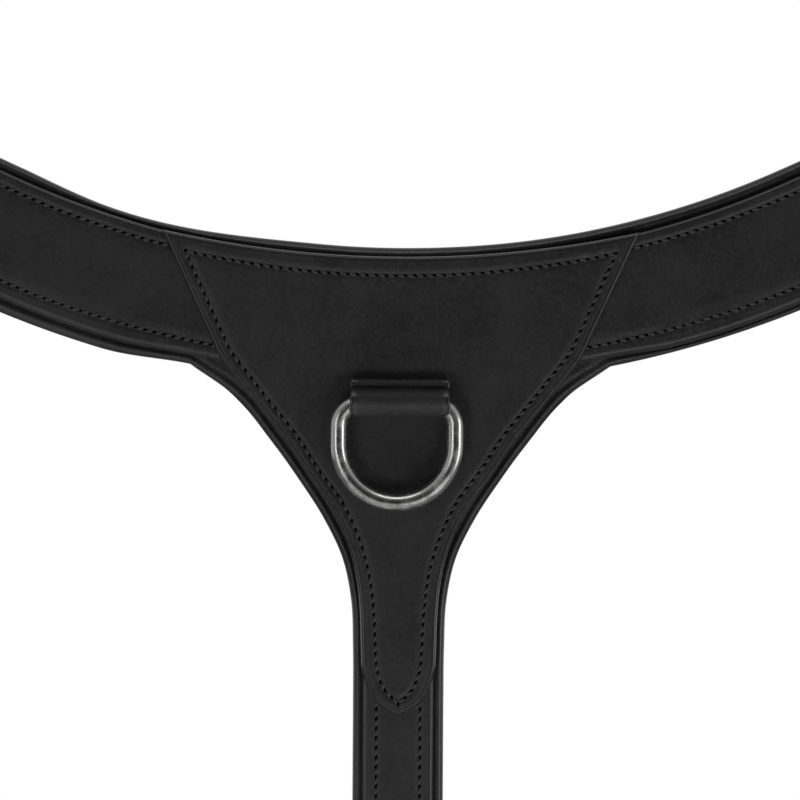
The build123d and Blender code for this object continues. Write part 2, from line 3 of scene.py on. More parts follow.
import bmesh
import bpy
import mathutils
import numpy as np
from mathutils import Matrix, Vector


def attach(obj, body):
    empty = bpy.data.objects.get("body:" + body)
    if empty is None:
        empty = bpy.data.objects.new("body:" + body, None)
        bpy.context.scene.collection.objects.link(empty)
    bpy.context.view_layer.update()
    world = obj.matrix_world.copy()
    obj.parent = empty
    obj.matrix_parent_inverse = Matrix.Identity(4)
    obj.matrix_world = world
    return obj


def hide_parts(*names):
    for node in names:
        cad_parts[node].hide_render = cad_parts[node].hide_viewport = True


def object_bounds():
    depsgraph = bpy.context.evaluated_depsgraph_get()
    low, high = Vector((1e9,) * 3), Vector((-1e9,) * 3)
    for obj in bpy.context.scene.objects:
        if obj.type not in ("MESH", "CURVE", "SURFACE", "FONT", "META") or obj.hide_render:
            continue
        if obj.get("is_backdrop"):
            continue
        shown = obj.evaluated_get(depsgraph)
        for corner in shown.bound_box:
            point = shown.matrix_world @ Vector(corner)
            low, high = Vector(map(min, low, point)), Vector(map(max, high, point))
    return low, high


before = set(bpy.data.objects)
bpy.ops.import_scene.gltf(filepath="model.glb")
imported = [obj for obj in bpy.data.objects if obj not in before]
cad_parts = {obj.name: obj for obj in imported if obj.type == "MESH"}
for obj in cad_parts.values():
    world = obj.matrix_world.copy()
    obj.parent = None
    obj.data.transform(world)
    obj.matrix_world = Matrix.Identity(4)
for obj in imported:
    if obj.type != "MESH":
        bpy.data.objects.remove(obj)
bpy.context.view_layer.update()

bl_info = {
    "name": "Breastplate martingale",
    "version": (1, 0, 0),
    "blender": (4, 5, 0),
    "location": "3D View > Sidebar > Tack",
    "description": "Builds the leather, thread, elastic and steel of a padded breastplate martingale",
    "category": "Object",
}

# Lengths in this file are millimetres until a mesh is made.
MM = 0.001

# ---- the shape the pieces share with the frame ----
YOKE_C = 291.5
R_LINING_TOP, R_LINING_LOW = 249.4, 286.7
R_FACE_TOP, R_FACE_LOW = 253.1, 281.7
ARM_SLOPE = math.radians(52.0)
ARM_TAIL = 57.8
FLAT_X, WRAP_R = 110.0, 190.0
LINING_T, FACE_T, SHIELD_T, CHAPE_T = 5.0, 2.5, 2.0, 1.8
RING_R, WIRE_R = 16.25, 2.25
R_SEAM_TOP, R_SEAM_LOW = R_FACE_TOP + 3.7, R_FACE_LOW - 1.3
BAR_Y = -(LINING_T + FACE_T + SHIELD_T + CHAPE_T + WIRE_R + 0.07)
FOLD_R = WIRE_R + 0.07 + 0.9
CLEAR = 0.02
BEND_Z, BEND_R, BEND_TURN = -200.0, 120.0, math.radians(55.0)
JUNCTION = math.radians(11.47)
ARM_MID_R = (R_LINING_TOP + R_LINING_LOW) / 2
ARM_X = ARM_MID_R * math.sin(ARM_SLOPE)
ARM_Z = YOKE_C - ARM_MID_R * math.cos(ARM_SLOPE)
WRAP_TURN = math.asin((ARM_X - FLAT_X) / WRAP_R)
BUCKLE_S, HOOK_S, HOOK_N = 215.0, 315.0, -1.83


def unit(v):
    """Each row divided by its length."""
    return v / np.maximum(np.linalg.norm(v, axis=-1, keepdims=True), 1e-12)


class Lay:
    """A local frame: s runs along a strap, n out of its face, c across it."""

    def __init__(self, origin, along, out):
        self.o = np.array(origin, float)
        self.t = unit(np.array(along, float))
        self.n = unit(np.array(out, float))
        self.c = np.cross(self.n, self.t)

    def moved(self, s, n=0.0):
        return Lay(self.o + self.t * s + self.n * n, self.t, self.n)

    def point(self, s, c, n):
        """origin + s along + c across + n outwards, for whole arrays."""
        s, c, n = (np.asarray(v, float)[..., None] for v in (s, c, n))
        return self.o + s * self.t + c * self.c + n * self.n


ALONG = (1.0, math.tan(WRAP_TURN), math.tan(ARM_SLOPE))
OUTWARD = (math.sin(WRAP_TURN), -math.cos(WRAP_TURN), 0.0)
ARM = Lay((ARM_X, WRAP_R * (1 - math.cos(WRAP_TURN)), ARM_Z), ALONG, OUTWARD)
TUG = ARM.moved(84.0, LINING_T + FACE_T + 0.1 + CHAPE_T)
SADDLE_BUCKLE = TUG.moved(BUCKLE_S)
GIRTH = Lay((0, BEND_R * (1 - math.cos(BEND_TURN)), BEND_Z - BEND_R * math.sin(BEND_TURN)),
            (0, math.sin(BEND_TURN), -math.cos(BEND_TURN)), (0, -math.cos(BEND_TURN), -math.sin(BEND_TURN)))
GIRTH_BUCKLE = GIRTH.moved(130.0, LINING_T + FACE_T + 0.1 + 2.25)
KEEPER_LAY = Lay((0, 0, 0), (0, 0, -1), (0, -1, 0))


def worn(p, depth):
    """Yoke: a point x, z of the front outline stands straight out by its depth as far as FLAT_X, then the sheet
    turns round a shoulder of radius WRAP_R + depth, and past the arm's start it runs straight on."""
    x, z = p[..., 0], p[..., 1]
    a, r = np.abs(x) - FLAT_X, WRAP_R + depth
    turn = np.arcsin(np.clip(a / r, 0.0, math.sin(WRAP_TURN)))
    past = np.maximum(a - r * math.sin(WRAP_TURN), 0.0)
    return np.stack([x, WRAP_R - r * np.cos(turn) + past * math.tan(WRAP_TURN), z], -1)


def hung(p, depth):
    """Belly: a point x, z of the unrolled strap hangs straight down to BEND_Z, follows an arc of radius
    BEND_R + depth there, and then runs straight on at the arc's last slope."""
    x, s = p[..., 0], -p[..., 1]
    over = np.clip((s + BEND_Z) / BEND_R, 0.0, BEND_TURN)
    r = BEND_R + depth
    past = np.maximum(s + BEND_Z - BEND_R * BEND_TURN, 0.0)
    y = BEND_R - r * np.cos(over) + past * math.sin(BEND_TURN)
    z = -np.minimum(s, -BEND_Z) - r * np.sin(over) - past * math.cos(BEND_TURN)
    return np.stack([x, y, z], -1)


# ---- lines ----
def resample(points, step):
    """Points at even distances along a polyline."""
    p = np.asarray(points, float)
    d = np.concatenate([[0], np.cumsum(np.linalg.norm(np.diff(p, axis=0), axis=1))])
    n = max(int(round(d[-1] / step)), 2)
    at = np.linspace(0, d[-1], n + 1)
    return np.stack([np.interp(at, d, p[:, k]) for k in range(p.shape[1])], -1)


def smooth(points, step=0.5):
    """A curve through the points: each span is the cubic whose end slopes are those of the neighbours' chord."""
    p = np.asarray(points, float)
    before = np.vstack([2 * p[0] - p[1], p[:-1]])
    after = np.vstack([p[1:], 2 * p[-1] - p[-2]])
    gap_b = np.linalg.norm(p - before, axis=1)[:, None]
    gap_a = np.linalg.norm(after - p, axis=1)[:, None]
    slope = (gap_a * (p - before) / gap_b + gap_b * (after - p) / gap_a) / (gap_a + gap_b)
    out = []
    for i in range(len(p) - 1):
        length = gap_a[i, 0]
        t = np.linspace(0, 1, max(int(length / step), 2), endpoint=False)[:, None]
        a, b, c, d = p[i], slope[i] * length, p[i + 1], slope[i + 1] * length
        out.append((2 * t**3 - 3 * t**2 + 1) * a + (t**3 - 2 * t**2 + t) * b
                   + (3 * t**2 - 2 * t**3) * c + (t**3 - t**2) * d)
    return np.vstack(out + [p[-1:]])


def hermite(p0, t0, p1, t1, n):
    """The cubic from p0 to p1 with unit end slopes t0 and t1 times their distance."""
    p0, t0, p1, t1 = (np.array(v, float) for v in (p0, t0, p1, t1))
    k = np.linalg.norm(p1 - p0)
    t = np.linspace(0, 1, n)[:, None]
    return ((2 * t**3 - 3 * t**2 + 1) * p0 + (t**3 - 2 * t**2 + t) * k * t0
            + (3 * t**2 - 2 * t**3) * p1 + (t**3 - t**2) * k * t1)


def polar(r, a):
    """Points of the chest curve at radius r, a radians from straight down."""
    a = np.asarray(a, float)
    return np.stack([r * np.sin(a), YOKE_C - r * np.cos(a)], -1)


ARM_DIR = np.array([math.cos(ARM_SLOPE), math.sin(ARM_SLOPE)])
ARC_END = math.radians(24.0)


def arm_edge(r, side, tail_half, cut, start, step, m=1):
    """One long edge of a chest strap from angle start to its end: an arc, a narrowing cubic, a straight tail."""
    arc = drifted(r, np.arange(start, ARC_END, step / 268.0), m)
    tail = polar(ARM_MID_R + side * tail_half, ARM_SLOPE)
    slope = np.array([math.cos(ARC_END), math.sin(ARC_END)])
    narrow = hermite(drifted(r, ARC_END, m), slope, tail, ARM_DIR, int(130 / step))
    far = tail + ARM_DIR * (ARM_TAIL - cut)
    last = tail + (far - tail) * np.linspace(0, 1, int(40 / step))[1:, None]
    return np.vstack([arc, narrow, last])


def rounded_end(a, b, reach, rows=9):
    """More rows past the last of two edge lines, drawn in to a round end that stands out by reach."""
    mid, half = (a[-1] + b[-1]) / 2, (a[-1] - b[-1]) / 2
    out = unit(mid - (a[-2] + b[-2]) / 2)
    t = np.linspace(0, np.pi / 2, rows)[1:, None]
    t = t[:-1].tolist() + [[np.pi / 2 * 0.985]]
    t = np.array(t)
    centre = mid + out * reach * np.sin(t)
    return (np.vstack([a, centre + half * np.cos(t) ** 0.8]), np.vstack([b, centre - half * np.cos(t) ** 0.8]))


# ---- leather sheets ----
FINE = np.array([0.0, 0.06, 0.2, 0.42, 0.72, 1.1, 1.5, 1.95, 2.45, 3.0, 3.6, 4.4, 5.4])


def across(width, middle):
    """Positions 0 to 1 across each row: close together near both edges, even between."""
    w = width[:, None]
    fine = FINE[None, :] * np.minimum(1.0, 0.4 * w / FINE[-1])
    even = np.linspace(0, 1, middle + 2)[None, 1:-1]
    inner = fine[:, -1:] + (w - 2 * fine[:, -1:]) * even
    return np.concatenate([fine, inner, w - fine[:, ::-1]], 1) / w


def strip(a, b, middle=8):
    """Grid between two edge lines with the same number of points."""
    u = across(np.linalg.norm(b - a, axis=1), middle)
    return a[:, None] + (b - a)[:, None] * u[..., None]


def line_distance(points, line, closed=False):
    """Distance to a line: the least, over its segments, of the way to the nearest point of that segment."""
    flat = points.reshape(-1, 2)
    a = line if closed else line[:-1]
    ab = (np.roll(line, -1, axis=0) if closed else line[1:]) - a
    keep = (ab ** 2).sum(1) > 1e-12
    a, ab = a[keep], ab[keep]
    size = (ab ** 2).sum(1)
    out = np.empty(len(flat))
    for i in range(0, len(flat), 3000):
        q = flat[i:i + 3000, None] - a[None]
        t = np.clip((q * ab).sum(-1) / size, 0, 1)
        out[i:i + 3000] = np.sqrt(((q - ab * t[..., None]) ** 2).sum(-1).min(1))
    return out.reshape(points.shape[:-1])


def bulge(d, r):
    """Quarter round: 0 at the rim, 1 from r inwards."""
    return np.sqrt(np.clip(1 - (1 - np.clip(d / r, 0, 1)) ** 2, 0, 1))


def dent(d, at, width):
    """Bell of height 1 at distance at."""
    return np.exp(-((d - at) / width) ** 2)


def ease(x):
    """0 to 1 with level ends."""
    x = np.clip(x, 0, 1)
    return x * x * (3 - 2 * x)


def ripple(p, size, seed):
    """Slow unevenness of hand-worked leather: four sine waves of unlike length and heading, between -1 and 1."""
    x, z = p[..., 0] / size, p[..., 1] / size
    k = seed * 1.7
    return 0.25 * (np.sin(1.0 * x + 0.6 * z + k) + np.sin(-0.7 * x + 1.3 * z + 2.1 * k)
                   + np.sin(2.1 * x - 1.1 * z + 3.3 * k) + np.sin(1.6 * x + 2.4 * z + 4.7 * k))


class Sheet:
    """A sheet of leather: its flat outline, the depths of its two skins as functions of the rim distance and the
    place, the seams that press a groove into it, and where its flat points lie in space."""

    def __init__(self, loop, front, back, place, seams=(), groove=0.3, width=0.55, back_groove=0.0, mirror=False):
        self.loop, self.front, self.back, self.place = loop, front, back, place
        self.seams, self.groove, self.width, self.back_groove = seams, groove, width, back_groove
        self.mirror = mirror

    def depths(self, p, d):
        """Depth of the front and the back skin at flat points p whose rim distances are d."""
        a, b = self.front(d, p), self.back(d, p)
        self.near = np.full(p.shape[:-1], 9.0)
        if len(self.seams):
            self.near = near = np.min([line_distance(p, line) for line in self.seams], axis=0)
            press = np.exp(-(near / self.width) ** 2)
            a = a - self.groove * press
            b = b + self.back_groove * np.exp(-(near / (2.2 * self.width)) ** 2)
        return a, b

    def surface(self, p, lift=0.0, behind=False):
        a, b = self.depths(p, line_distance(p, self.loop, True))
        return self.place(p, b - lift if behind else a + lift)


def grid_quads(n, m):
    """Vertex numbers of the quads of an n by m grid."""
    i = np.arange(n * m).reshape(n, m)
    return np.stack([i[:-1, :-1], i[:-1, 1:], i[1:, 1:], i[1:, :-1]], -1)


def ring_quads(rows, around, closed=False):
    """Vertex numbers of the quads between rings of points; closed joins the last ring to the first as well."""
    i = np.arange(rows * around).reshape(rows, around)
    if closed:
        i = np.vstack([i, i[:1]])
    j = np.roll(i, -1, axis=1)
    return np.stack([i[:-1], j[:-1], j[1:], i[1:]], -1).reshape(-1, 4)


def end_fans(rows, around):
    """Triangles from the first and the last ring to the two pole vertices that follow the rings."""
    i = np.arange(rows * around).reshape(rows, around)
    j = np.roll(i, -1, axis=1)
    first, last = np.full(around, i.size), np.full(around, i.size + 1)
    return np.vstack([np.stack([j[0], i[0], first], -1), np.stack([i[-1], j[-1], last], -1)])


def put(name, verts, quads, body, material, tris=None, uv=None, marks=None, merge=0.0, mirror=False):
    """Mesh object from vertices in millimetres, quads and triangles; marks are kept as vertex attributes."""
    verts = np.array(verts, float)
    tris = np.zeros((0, 3), int) if tris is None else tris
    if mirror:
        verts[:, 0] *= -1
        quads, tris = quads[:, ::-1], tris[:, ::-1]
    me = bpy.data.meshes.new(name)
    me.vertices.add(len(verts))
    me.vertices.foreach_set("co", (verts * MM).ravel())
    idx = np.concatenate([quads.ravel(), tris.ravel()]).astype(np.int32)
    me.loops.add(len(idx))
    me.loops.foreach_set("vertex_index", idx)
    me.polygons.add(len(quads) + len(tris))
    starts = np.concatenate([np.arange(len(quads)) * 4, quads.size + np.arange(len(tris)) * 3])
    me.polygons.foreach_set("loop_start", starts.astype(np.int32))
    me.update(calc_edges=True)
    me.polygons.foreach_set("use_smooth", np.ones(len(quads) + len(tris), bool))
    if uv is not None:
        me.uv_layers.new(name="UVMap").data.foreach_set("uv", (uv[idx] * MM).astype(np.float32).ravel())
    for key, values in (marks or {}).items():
        me.attributes.new(key, "FLOAT", "POINT").data.foreach_set("value", values.astype(np.float32))
    if merge:
        bm = bmesh.new()
        bm.from_mesh(me)
        bmesh.ops.remove_doubles(bm, verts=bm.verts, dist=merge * MM)
        bm.to_mesh(me)
        bm.free()
    me.validate()
    me.materials.append(material)
    o = bpy.data.objects.new(name, me)
    bpy.context.scene.collection.objects.link(o)
    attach(o, body)
    return o


def sheet_arrays(sheet, grids, holes=()):
    """The two skins of a sheet over flat grids, joined along the rim and through round-ended holes.
    holes are rows x0, x1, y, r: a slot from x0 to x1 at height y, r its half width."""
    verts, quads, uvs, rims, seams, base = [], [], [], [], [], 0
    for g in grids:
        g = g.copy()
        n, m = g.shape[:2]
        gone = np.zeros((n - 1, m - 1), bool)
        mid = (g[:-1, :-1] + g[1:, 1:] + g[1:, :-1] + g[:-1, 1:]) / 4
        for x0, x1, y, r in holes:
            axis = np.stack([np.clip(mid[..., 0], x0, x1), np.full(mid.shape[:2], y)], -1)
            here = np.linalg.norm(mid - axis, axis=-1) < r
            open_, shut = np.zeros((n + 1, m + 1), bool), np.zeros((n + 1, m + 1), bool)
            open_[1:-1, 1:-1], shut[1:-1, 1:-1] = here, ~here
            touch = [a[:-1, :-1] | a[1:, :-1] | a[:-1, 1:] | a[1:, 1:] for a in (open_, shut)]
            lip = touch[0] & touch[1]
            near = np.stack([np.clip(g[..., 0], x0, x1), np.full((n, m), y)], -1)
            g[lip] = near[lip] + unit((g - near)[lip]) * r
            gone |= here
        d = line_distance(g, sheet.loop, True)
        edge = np.zeros((n, m), bool)
        edge[0], edge[-1], edge[:, 0], edge[:, -1] = True, True, True, True
        rim = edge & (d < 0.05)
        d = np.where(rim, 0.0, d)
        front, back = sheet.depths(g, d)
        q = grid_quads(n, m)
        e1, e2 = g[:-1, 1:] - g[:-1, :-1], g[1:, :-1] - g[:-1, :-1]
        turned_over = (e1[..., 0] * e2[..., 1] - e1[..., 1] * e2[..., 0]).sum() < 0
        here = [q[~gone], q[~gone][:, ::-1] + n * m]
        ring = np.concatenate([np.arange(m - 1), (np.arange(n - 1) + 1) * m - 1,
                               n * m - 1 - np.arange(m - 1), (n - 1 - np.arange(n - 1)) * m])
        nxt = np.roll(ring, -1)
        on = rim.ravel()[ring] & rim.ravel()[nxt]
        here.append(np.stack([nxt[on], ring[on], ring[on] + n * m, nxt[on] + n * m], -1))
        if len(holes):
            i = np.arange(n * m).reshape(n, m)
            for kept, lost, p, r in ((~gone[:, :-1], gone[:, 1:], i[1:, 1:-1], i[:-1, 1:-1]),
                                     (~gone[:, 1:], gone[:, :-1], i[:-1, 1:-1], i[1:, 1:-1]),
                                     (~gone[:-1], gone[1:], i[1:-1, :-1], i[1:-1, 1:]),
                                     (~gone[1:], gone[:-1], i[1:-1, 1:], i[1:-1, :-1])):
                w = kept & lost
                here.append(np.stack([p[w], r[w], r[w] + n * m, p[w] + n * m], -1))
        here = np.concatenate([h.reshape(-1, 4) for h in here])
        quads.append((here[:, ::-1] if turned_over else here) + base)
        verts += [sheet.place(g, front).reshape(-1, 3), sheet.place(g, back).reshape(-1, 3)]
        uvs += [g.reshape(-1, 2)] * 2
        rims += [d.ravel()] * 2
        seams += [sheet.near.ravel(), np.full(n * m, 9.0)]
        base += 2 * n * m
    marks = {"rim": np.concatenate(rims), "seam": np.concatenate(seams)}
    return np.vstack(verts), np.vstack(quads), np.vstack(uvs), marks


def leather(name, sheet, grids, body, material, holes=()):
    """A sheet of leather as an object."""
    v, q, uv, marks = sheet_arrays(sheet, grids, holes)
    return put(name, v, q, body, material, uv=uv, marks=marks, merge=0.004, mirror=sheet.mirror)


def loop_of(a, b):
    """Closed line out along one edge and back along the other."""
    return np.vstack([a, b[::-1]])


# ---- straps that follow a side outline ----
class Run:
    """A strap's middle line in the s, n plane of a lay, with the way across along c. The sheet's flat x is the
    length run and its flat y the way across. shift moves points along s by where they are across."""

    def __init__(self, lay, points, step=0.4, shift=None):
        p = smooth(points, step)
        d = np.concatenate([[0], np.cumsum(np.linalg.norm(np.diff(p, axis=0), axis=1))])
        t = unit(np.gradient(p, axis=0))
        self.lay, self.p, self.d, self.shift = lay, p, d, shift
        self.n = np.stack([-t[:, 1], t[:, 0]], -1)
        self.length = d[-1]

    def place(self, q, depth):
        at = q[..., 0]
        s = np.interp(at, self.d, self.p[:, 0]) + np.interp(at, self.d, self.n[:, 0]) * depth
        n = np.interp(at, self.d, self.p[:, 1]) + np.interp(at, self.d, self.n[:, 1]) * depth
        if self.shift is not None:
            s = s + self.shift(s, q[..., 1])
        return self.lay.point(s, q[..., 1], n)

    def where(self, s, upper=True):
        """Length run at which the line passes s, on its first or its last pass."""
        hit = np.nonzero(np.diff(np.sign(self.p[:, 0] - s)))[0]
        return self.d[hit[0] if upper else hit[-1]]


def run_edges(length, half, step=0.8, ends=("square", "square"), fine_at=(), wide=None):
    """Edge lines of a flat strap: square, soft or pointed at each end, with closer rows at fine_at, rows x0, x1.
    wide, if given, is the half width as a function of the length run."""
    x = np.linspace(0, length, max(int(length / step), 3) + 1)[1:-1]
    for x0, x1 in fine_at:
        x = np.concatenate([x[(x < x0) | (x > x1)], np.linspace(x0, x1, int((x1 - x0) / 0.42) + 2)])
    tips = np.array([0.0, 0.08, 0.25, 0.5])
    x = np.sort(np.concatenate([tips, x[(x > 0.7) & (x < length - 0.7)], length - tips]))
    w = np.full(len(x), half) if wide is None else wide(x)
    for kind, e in ((ends[0], x), (ends[1], length - x)):
        if kind == "point":
            w = np.minimum(w, half * (0.26 + 0.74 * np.sin(np.clip(e / 9.5, 0, 1) * np.pi / 2)))
        elif kind == "soft":
            w = np.minimum(w, w - 1.6 * (1 - bulge(e, 1.6)))
    return np.stack([x, -w], -1), np.stack([x, w], -1)


def strap_skins(t, edge=0.75):
    """Front and back depths of a plain strap with round edges; t is a thickness or a function of the place."""
    def half(p):
        return (t(p) if callable(t) else t) / 2

    def front(d, p):
        return half(p) * (0.12 + 0.88 * bulge(d, edge)) + 0.025 * ripple(p, 9.0, 3.0) * ease(d / 2)

    def back(d, p):
        return -half(p) * (0.12 + 0.88 * bulge(d, edge))
    return front, back


def strap(name, run, half, t, body, material, seams=(), ends=("square", "square"), holes=(), middle=8, step=0.8,
          mirror=False, edge=0.75, wide=None, groove=0.18):
    """A strap of half width half and thickness t along a run, and its sheet for the thread."""
    fine = [(x0 - r - 1.5, x1 + r + 1.5) for x0, x1, _, r in holes]
    a, b = run_edges(run.length, half, step, ends, fine, wide)
    front, back = strap_skins(t, edge)
    sheet = Sheet(loop_of(a, b), front, back, run.place, seams=seams, groove=groove, width=0.5, mirror=mirror)
    return leather(name, sheet, [strip(a, b, middle)], body, material, holes=holes), sheet


# ---- thread ----
def grain_template(length, width, height, around=7, rings=5):
    """A rice grain: circles of radius sin to the 0.7 along its length, flattened to width and height."""
    t = np.linspace(0.04, 0.96, rings) * np.pi
    a = np.arange(around) / around * 2 * np.pi
    r = np.sin(t) ** 0.7
    v = np.stack([np.broadcast_to(-np.cos(t)[:, None] * length / 2, (rings, around)),
                  r[:, None] * np.cos(a)[None] * width / 2, r[:, None] * np.sin(a)[None] * height / 2], -1)
    v = np.vstack([v.reshape(-1, 3), [[-length / 2, 0, 0], [length / 2, 0, 0]]])
    return v, ring_quads(rings, around), end_fans(rings, around)


def scatter(template, origin, axes):
    """Copies of a template at each origin, turned by each set of three axes."""
    v, q, t = template
    n, k = len(origin), len(v)
    out = origin[:, None] + np.einsum("ka,nab->nkb", v, axes)
    shift = (np.arange(n) * k)[:, None, None]
    return out.reshape(-1, 3), (q[None] + shift).reshape(-1, 4), (t[None] + shift).reshape(-1, 3)


def sew(name, seams, body, pitch, behind=False):
    """Thread and awl holes along seams, rows of a sheet and a flat line on it. Each stitch is a grain laid
    slightly askew between two holes, and each of the holes gets a flat near-black lens set across the line: painted
    shade for the dark inside the holes, not a colour of the leather."""
    grain = grain_template(pitch * 0.80, 1.08, 0.72)
    hole_shade_lens = grain_template(1.18, 0.68, 0.20, around=8, rings=4)
    parts = {"thread": ([], [], []), "holes": ([], [], [])}
    base = {"thread": 0, "holes": 0}
    rng = np.random.default_rng(7)
    for sheet, line in seams:
        p = resample(line, pitch)
        t = unit(np.gradient(p, axis=0))
        here = sheet.surface(p, behind=behind)
        along = unit(sheet.surface(p + t * 0.2, behind=behind) - here)
        side = np.stack([-t[:, 1], t[:, 0]], -1)
        right = unit(sheet.place(p + side * 0.2, 0.0 * p[:, 0]) - sheet.place(p, 0.0 * p[:, 0]))
        up = unit(np.cross(along, right))
        right = np.cross(up, along)
        up = -up if behind else up
        mid = (here[:-1] + here[1:]) / 2
        # The holes rows lay near-black lenses just above the leather: painted shade for the dark inside the awl
        # holes.
        for kind, at, slant, template, high in (("thread", mid, -27.0, grain, 0.10),
                                                ("holes", here, -32.0, hole_shade_lens, 0.16)):
            n = len(at)
            turn = np.radians(slant + rng.uniform(-4, 4, n))[:, None]
            a1 = along[:n] * np.cos(turn) + right[:n] * np.sin(turn)
            a2 = right[:n] * np.cos(turn) - along[:n] * np.sin(turn)
            if behind:
                a2 = -a2
            size = 1 + rng.uniform(-0.05, 0.05, n)[:, None]
            v, q, f = scatter(template, at + up[:n] * high, np.stack([a1 * size, a2 * size, up[:n]], 1))
            if sheet.mirror:
                v[:, 0] *= -1
                q, f = q[:, ::-1], f[:, ::-1]
            for store, what in zip(parts[kind], (v, q + base[kind], f + base[kind])):
                store.append(what)
            base[kind] += len(v)
    for kind, key in (("thread", "thread"), ("holes", "hole_shade")):
        v, q, f = (np.vstack(x) for x in parts[kind])
        put(name + "_" + kind, v, q, body, MAT[key], tris=f)


# ---- round wire ----
NO_TRIS = np.zeros((0, 3), int)


def tube(path, radius, around=28, closed=True, squash=None):
    """A round wire along a line: circles set square to the line, their zero direction carried along it.
    squash scales the circle along the carried direction and across it, one pair per point."""
    p = np.asarray(path, float)
    n = len(p)
    if closed:
        t = unit(np.roll(p, -1, axis=0) - np.roll(p, 1, axis=0))
    else:
        t = unit(np.gradient(p, axis=0))
    normal = np.linalg.svd(p - p.mean(0))[2][2]
    e1 = unit(normal - (t @ normal)[:, None] * t)
    e2 = np.cross(t, e1)
    a = np.arange(around) / around * 2 * np.pi
    r = np.broadcast_to(np.asarray(radius, float), (n,))[:, None, None]
    k1, k2 = (np.ones(n), np.ones(n)) if squash is None else squash
    v = p[:, None] + r * (np.cos(a)[None, :, None] * e1[:, None] * k1[:, None, None]
                          + np.sin(a)[None, :, None] * e2[:, None] * k2[:, None, None])
    v, q = v.reshape(-1, 3), ring_quads(n, around, closed)
    if closed:
        return v, q, NO_TRIS
    return np.vstack([v, p[:1], p[-1:]]), q, end_fans(n, around)


def turned(profile, lay, around=40, axis="s", offset=0.0, closed=False):
    """Surface of revolution: profile rows are place along the axis and radius. It closes where the radius is 0,
    or runs back to its first row if closed is set."""
    pr = np.asarray(profile, float)
    a = np.arange(around) / around * 2 * np.pi
    s = np.broadcast_to(pr[:, :1], (len(pr), around))
    u, w = pr[:, 1:] * np.cos(a), pr[:, 1:] * np.sin(a)
    v = lay.point(s, offset + u, w) if axis == "s" else lay.point(u, s, w)
    q = ring_quads(len(pr), around, closed)
    return v.reshape(-1, 3), (q if axis == "s" else q[:, ::-1]), NO_TRIS


def joined(parts):
    """Several (vertices, quads, triangles) sets as one."""
    vs, qs, ts, base = [], [], [], 0
    for v, q, t in parts:
        vs.append(v)
        qs.append(q + base)
        ts.append(t + base)
        base += len(v)
    return np.vstack(vs), np.vstack(qs), np.vstack(ts)


def rounded(w, h, r, n=6):
    """Rounded rectangle about 0, 0, w by h, going round from the right side's lower end."""
    out = [corner((x * (w / 2 - r), y * (h / 2 - r)), r, a, a + 90, n)
           for x, y, a in ((1, 1, 0), (-1, 1, 90), (-1, -1, 180), (1, -1, 270))]
    return np.vstack(out)


def corner(centre, r, a0, a1, n=10):
    """Arc of a flat path about a centre, angles in degrees."""
    a = np.radians(np.linspace(a0, a1, n))
    return np.stack([centre[0] + r * np.cos(a), centre[1] + r * np.sin(a)], -1)


# ---- materials ----
def node(tree, kind, **values):
    """A shader node with its settings and, under inputs, the values of its sockets."""
    n = tree.nodes.new(kind)
    for key, value in values.items():
        if hasattr(n, key) and not isinstance(value, dict):
            setattr(n, key, value)
    for key, value in values.get("inputs", {}).items():
        n.inputs[key].default_value = value
    return n


def link(tree, a, b):
    tree.links.new(a, b)


def span(tree, value, a, b, low=0.0, high=1.0):
    """Node that carries value from the range a to b over to low to high, clamped."""
    n = node(tree, "ShaderNodeMapRange", clamp=True, inputs={"From Min": a, "From Max": b, "To Min": low,
                                                             "To Max": high})
    link(tree, value, n.inputs["Value"])
    return n.outputs["Result"]


def maths(tree, how, a, b):
    """Math node on two values, each a number or an output."""
    n = node(tree, "ShaderNodeMath", operation=how)
    for slot, value in zip(n.inputs, (a, b)):
        if isinstance(value, (int, float)):
            slot.default_value = value
        else:
            link(tree, value, slot)
    return n.outputs[0]


def object_noise(tree, scale, detail, rough=0.5):
    """Noise read from object coordinates."""
    n = node(tree, "ShaderNodeTexNoise", inputs={"Scale": scale, "Detail": detail, "Roughness": rough})
    link(tree, node(tree, "ShaderNodeTexCoord").outputs["Object"], n.inputs["Vector"])
    return n.outputs["Fac"]


def bumped(tree, shader, height, strength, distance):
    """Sets the shader's normal from a height."""
    b = node(tree, "ShaderNodeBump", inputs={"Strength": strength, "Distance": distance})
    link(tree, height, b.inputs["Height"])
    link(tree, b.outputs["Normal"], shader.inputs["Normal"])


def grain_group():
    """Shared leather look, read from object coordinates: Height of pores and creases, Tint of the dye's slow
    unevenness, and Scuff, scattered dull specks."""
    g = bpy.data.node_groups.new("leather_grain", "ShaderNodeTree")
    for name in ("Height", "Tint", "Scuff"):
        g.interface.new_socket(name, in_out="OUTPUT", socket_type="NodeSocketFloat")
    out = g.nodes.new("NodeGroupOutput")

    def noise(scale, detail, rough=0.55):
        return object_noise(g, scale, detail, rough)

    pores = node(g, "ShaderNodeTexVoronoi", feature="F1", inputs={"Scale": 1500.0, "Randomness": 1.0})
    link(g, node(g, "ShaderNodeTexCoord").outputs["Object"], pores.inputs["Vector"])
    pore = span(g, pores.outputs["Distance"], 0.0, 0.75)
    height = maths(g, "ADD", maths(g, "MULTIPLY", pore, 0.35),
                   maths(g, "ADD", maths(g, "MULTIPLY", noise(420.0, 4.0), 0.7), noise(110.0, 3.0)))
    link(g, height, out.inputs["Height"])
    link(g, maths(g, "ADD", maths(g, "MULTIPLY", noise(60.0, 4.0), 0.6),
                  maths(g, "MULTIPLY", noise(700.0, 2.0), 0.4)), out.inputs["Tint"])
    link(g, span(g, noise(900.0, 3.0, 0.6), 0.56, 0.72), out.inputs["Scuff"])
    return g


def new_material(name):
    """An empty material, its node tree and its shader."""
    m = bpy.data.materials.new(name)
    m.use_nodes = True
    return m, m.node_tree, m.node_tree.nodes["Principled BSDF"]


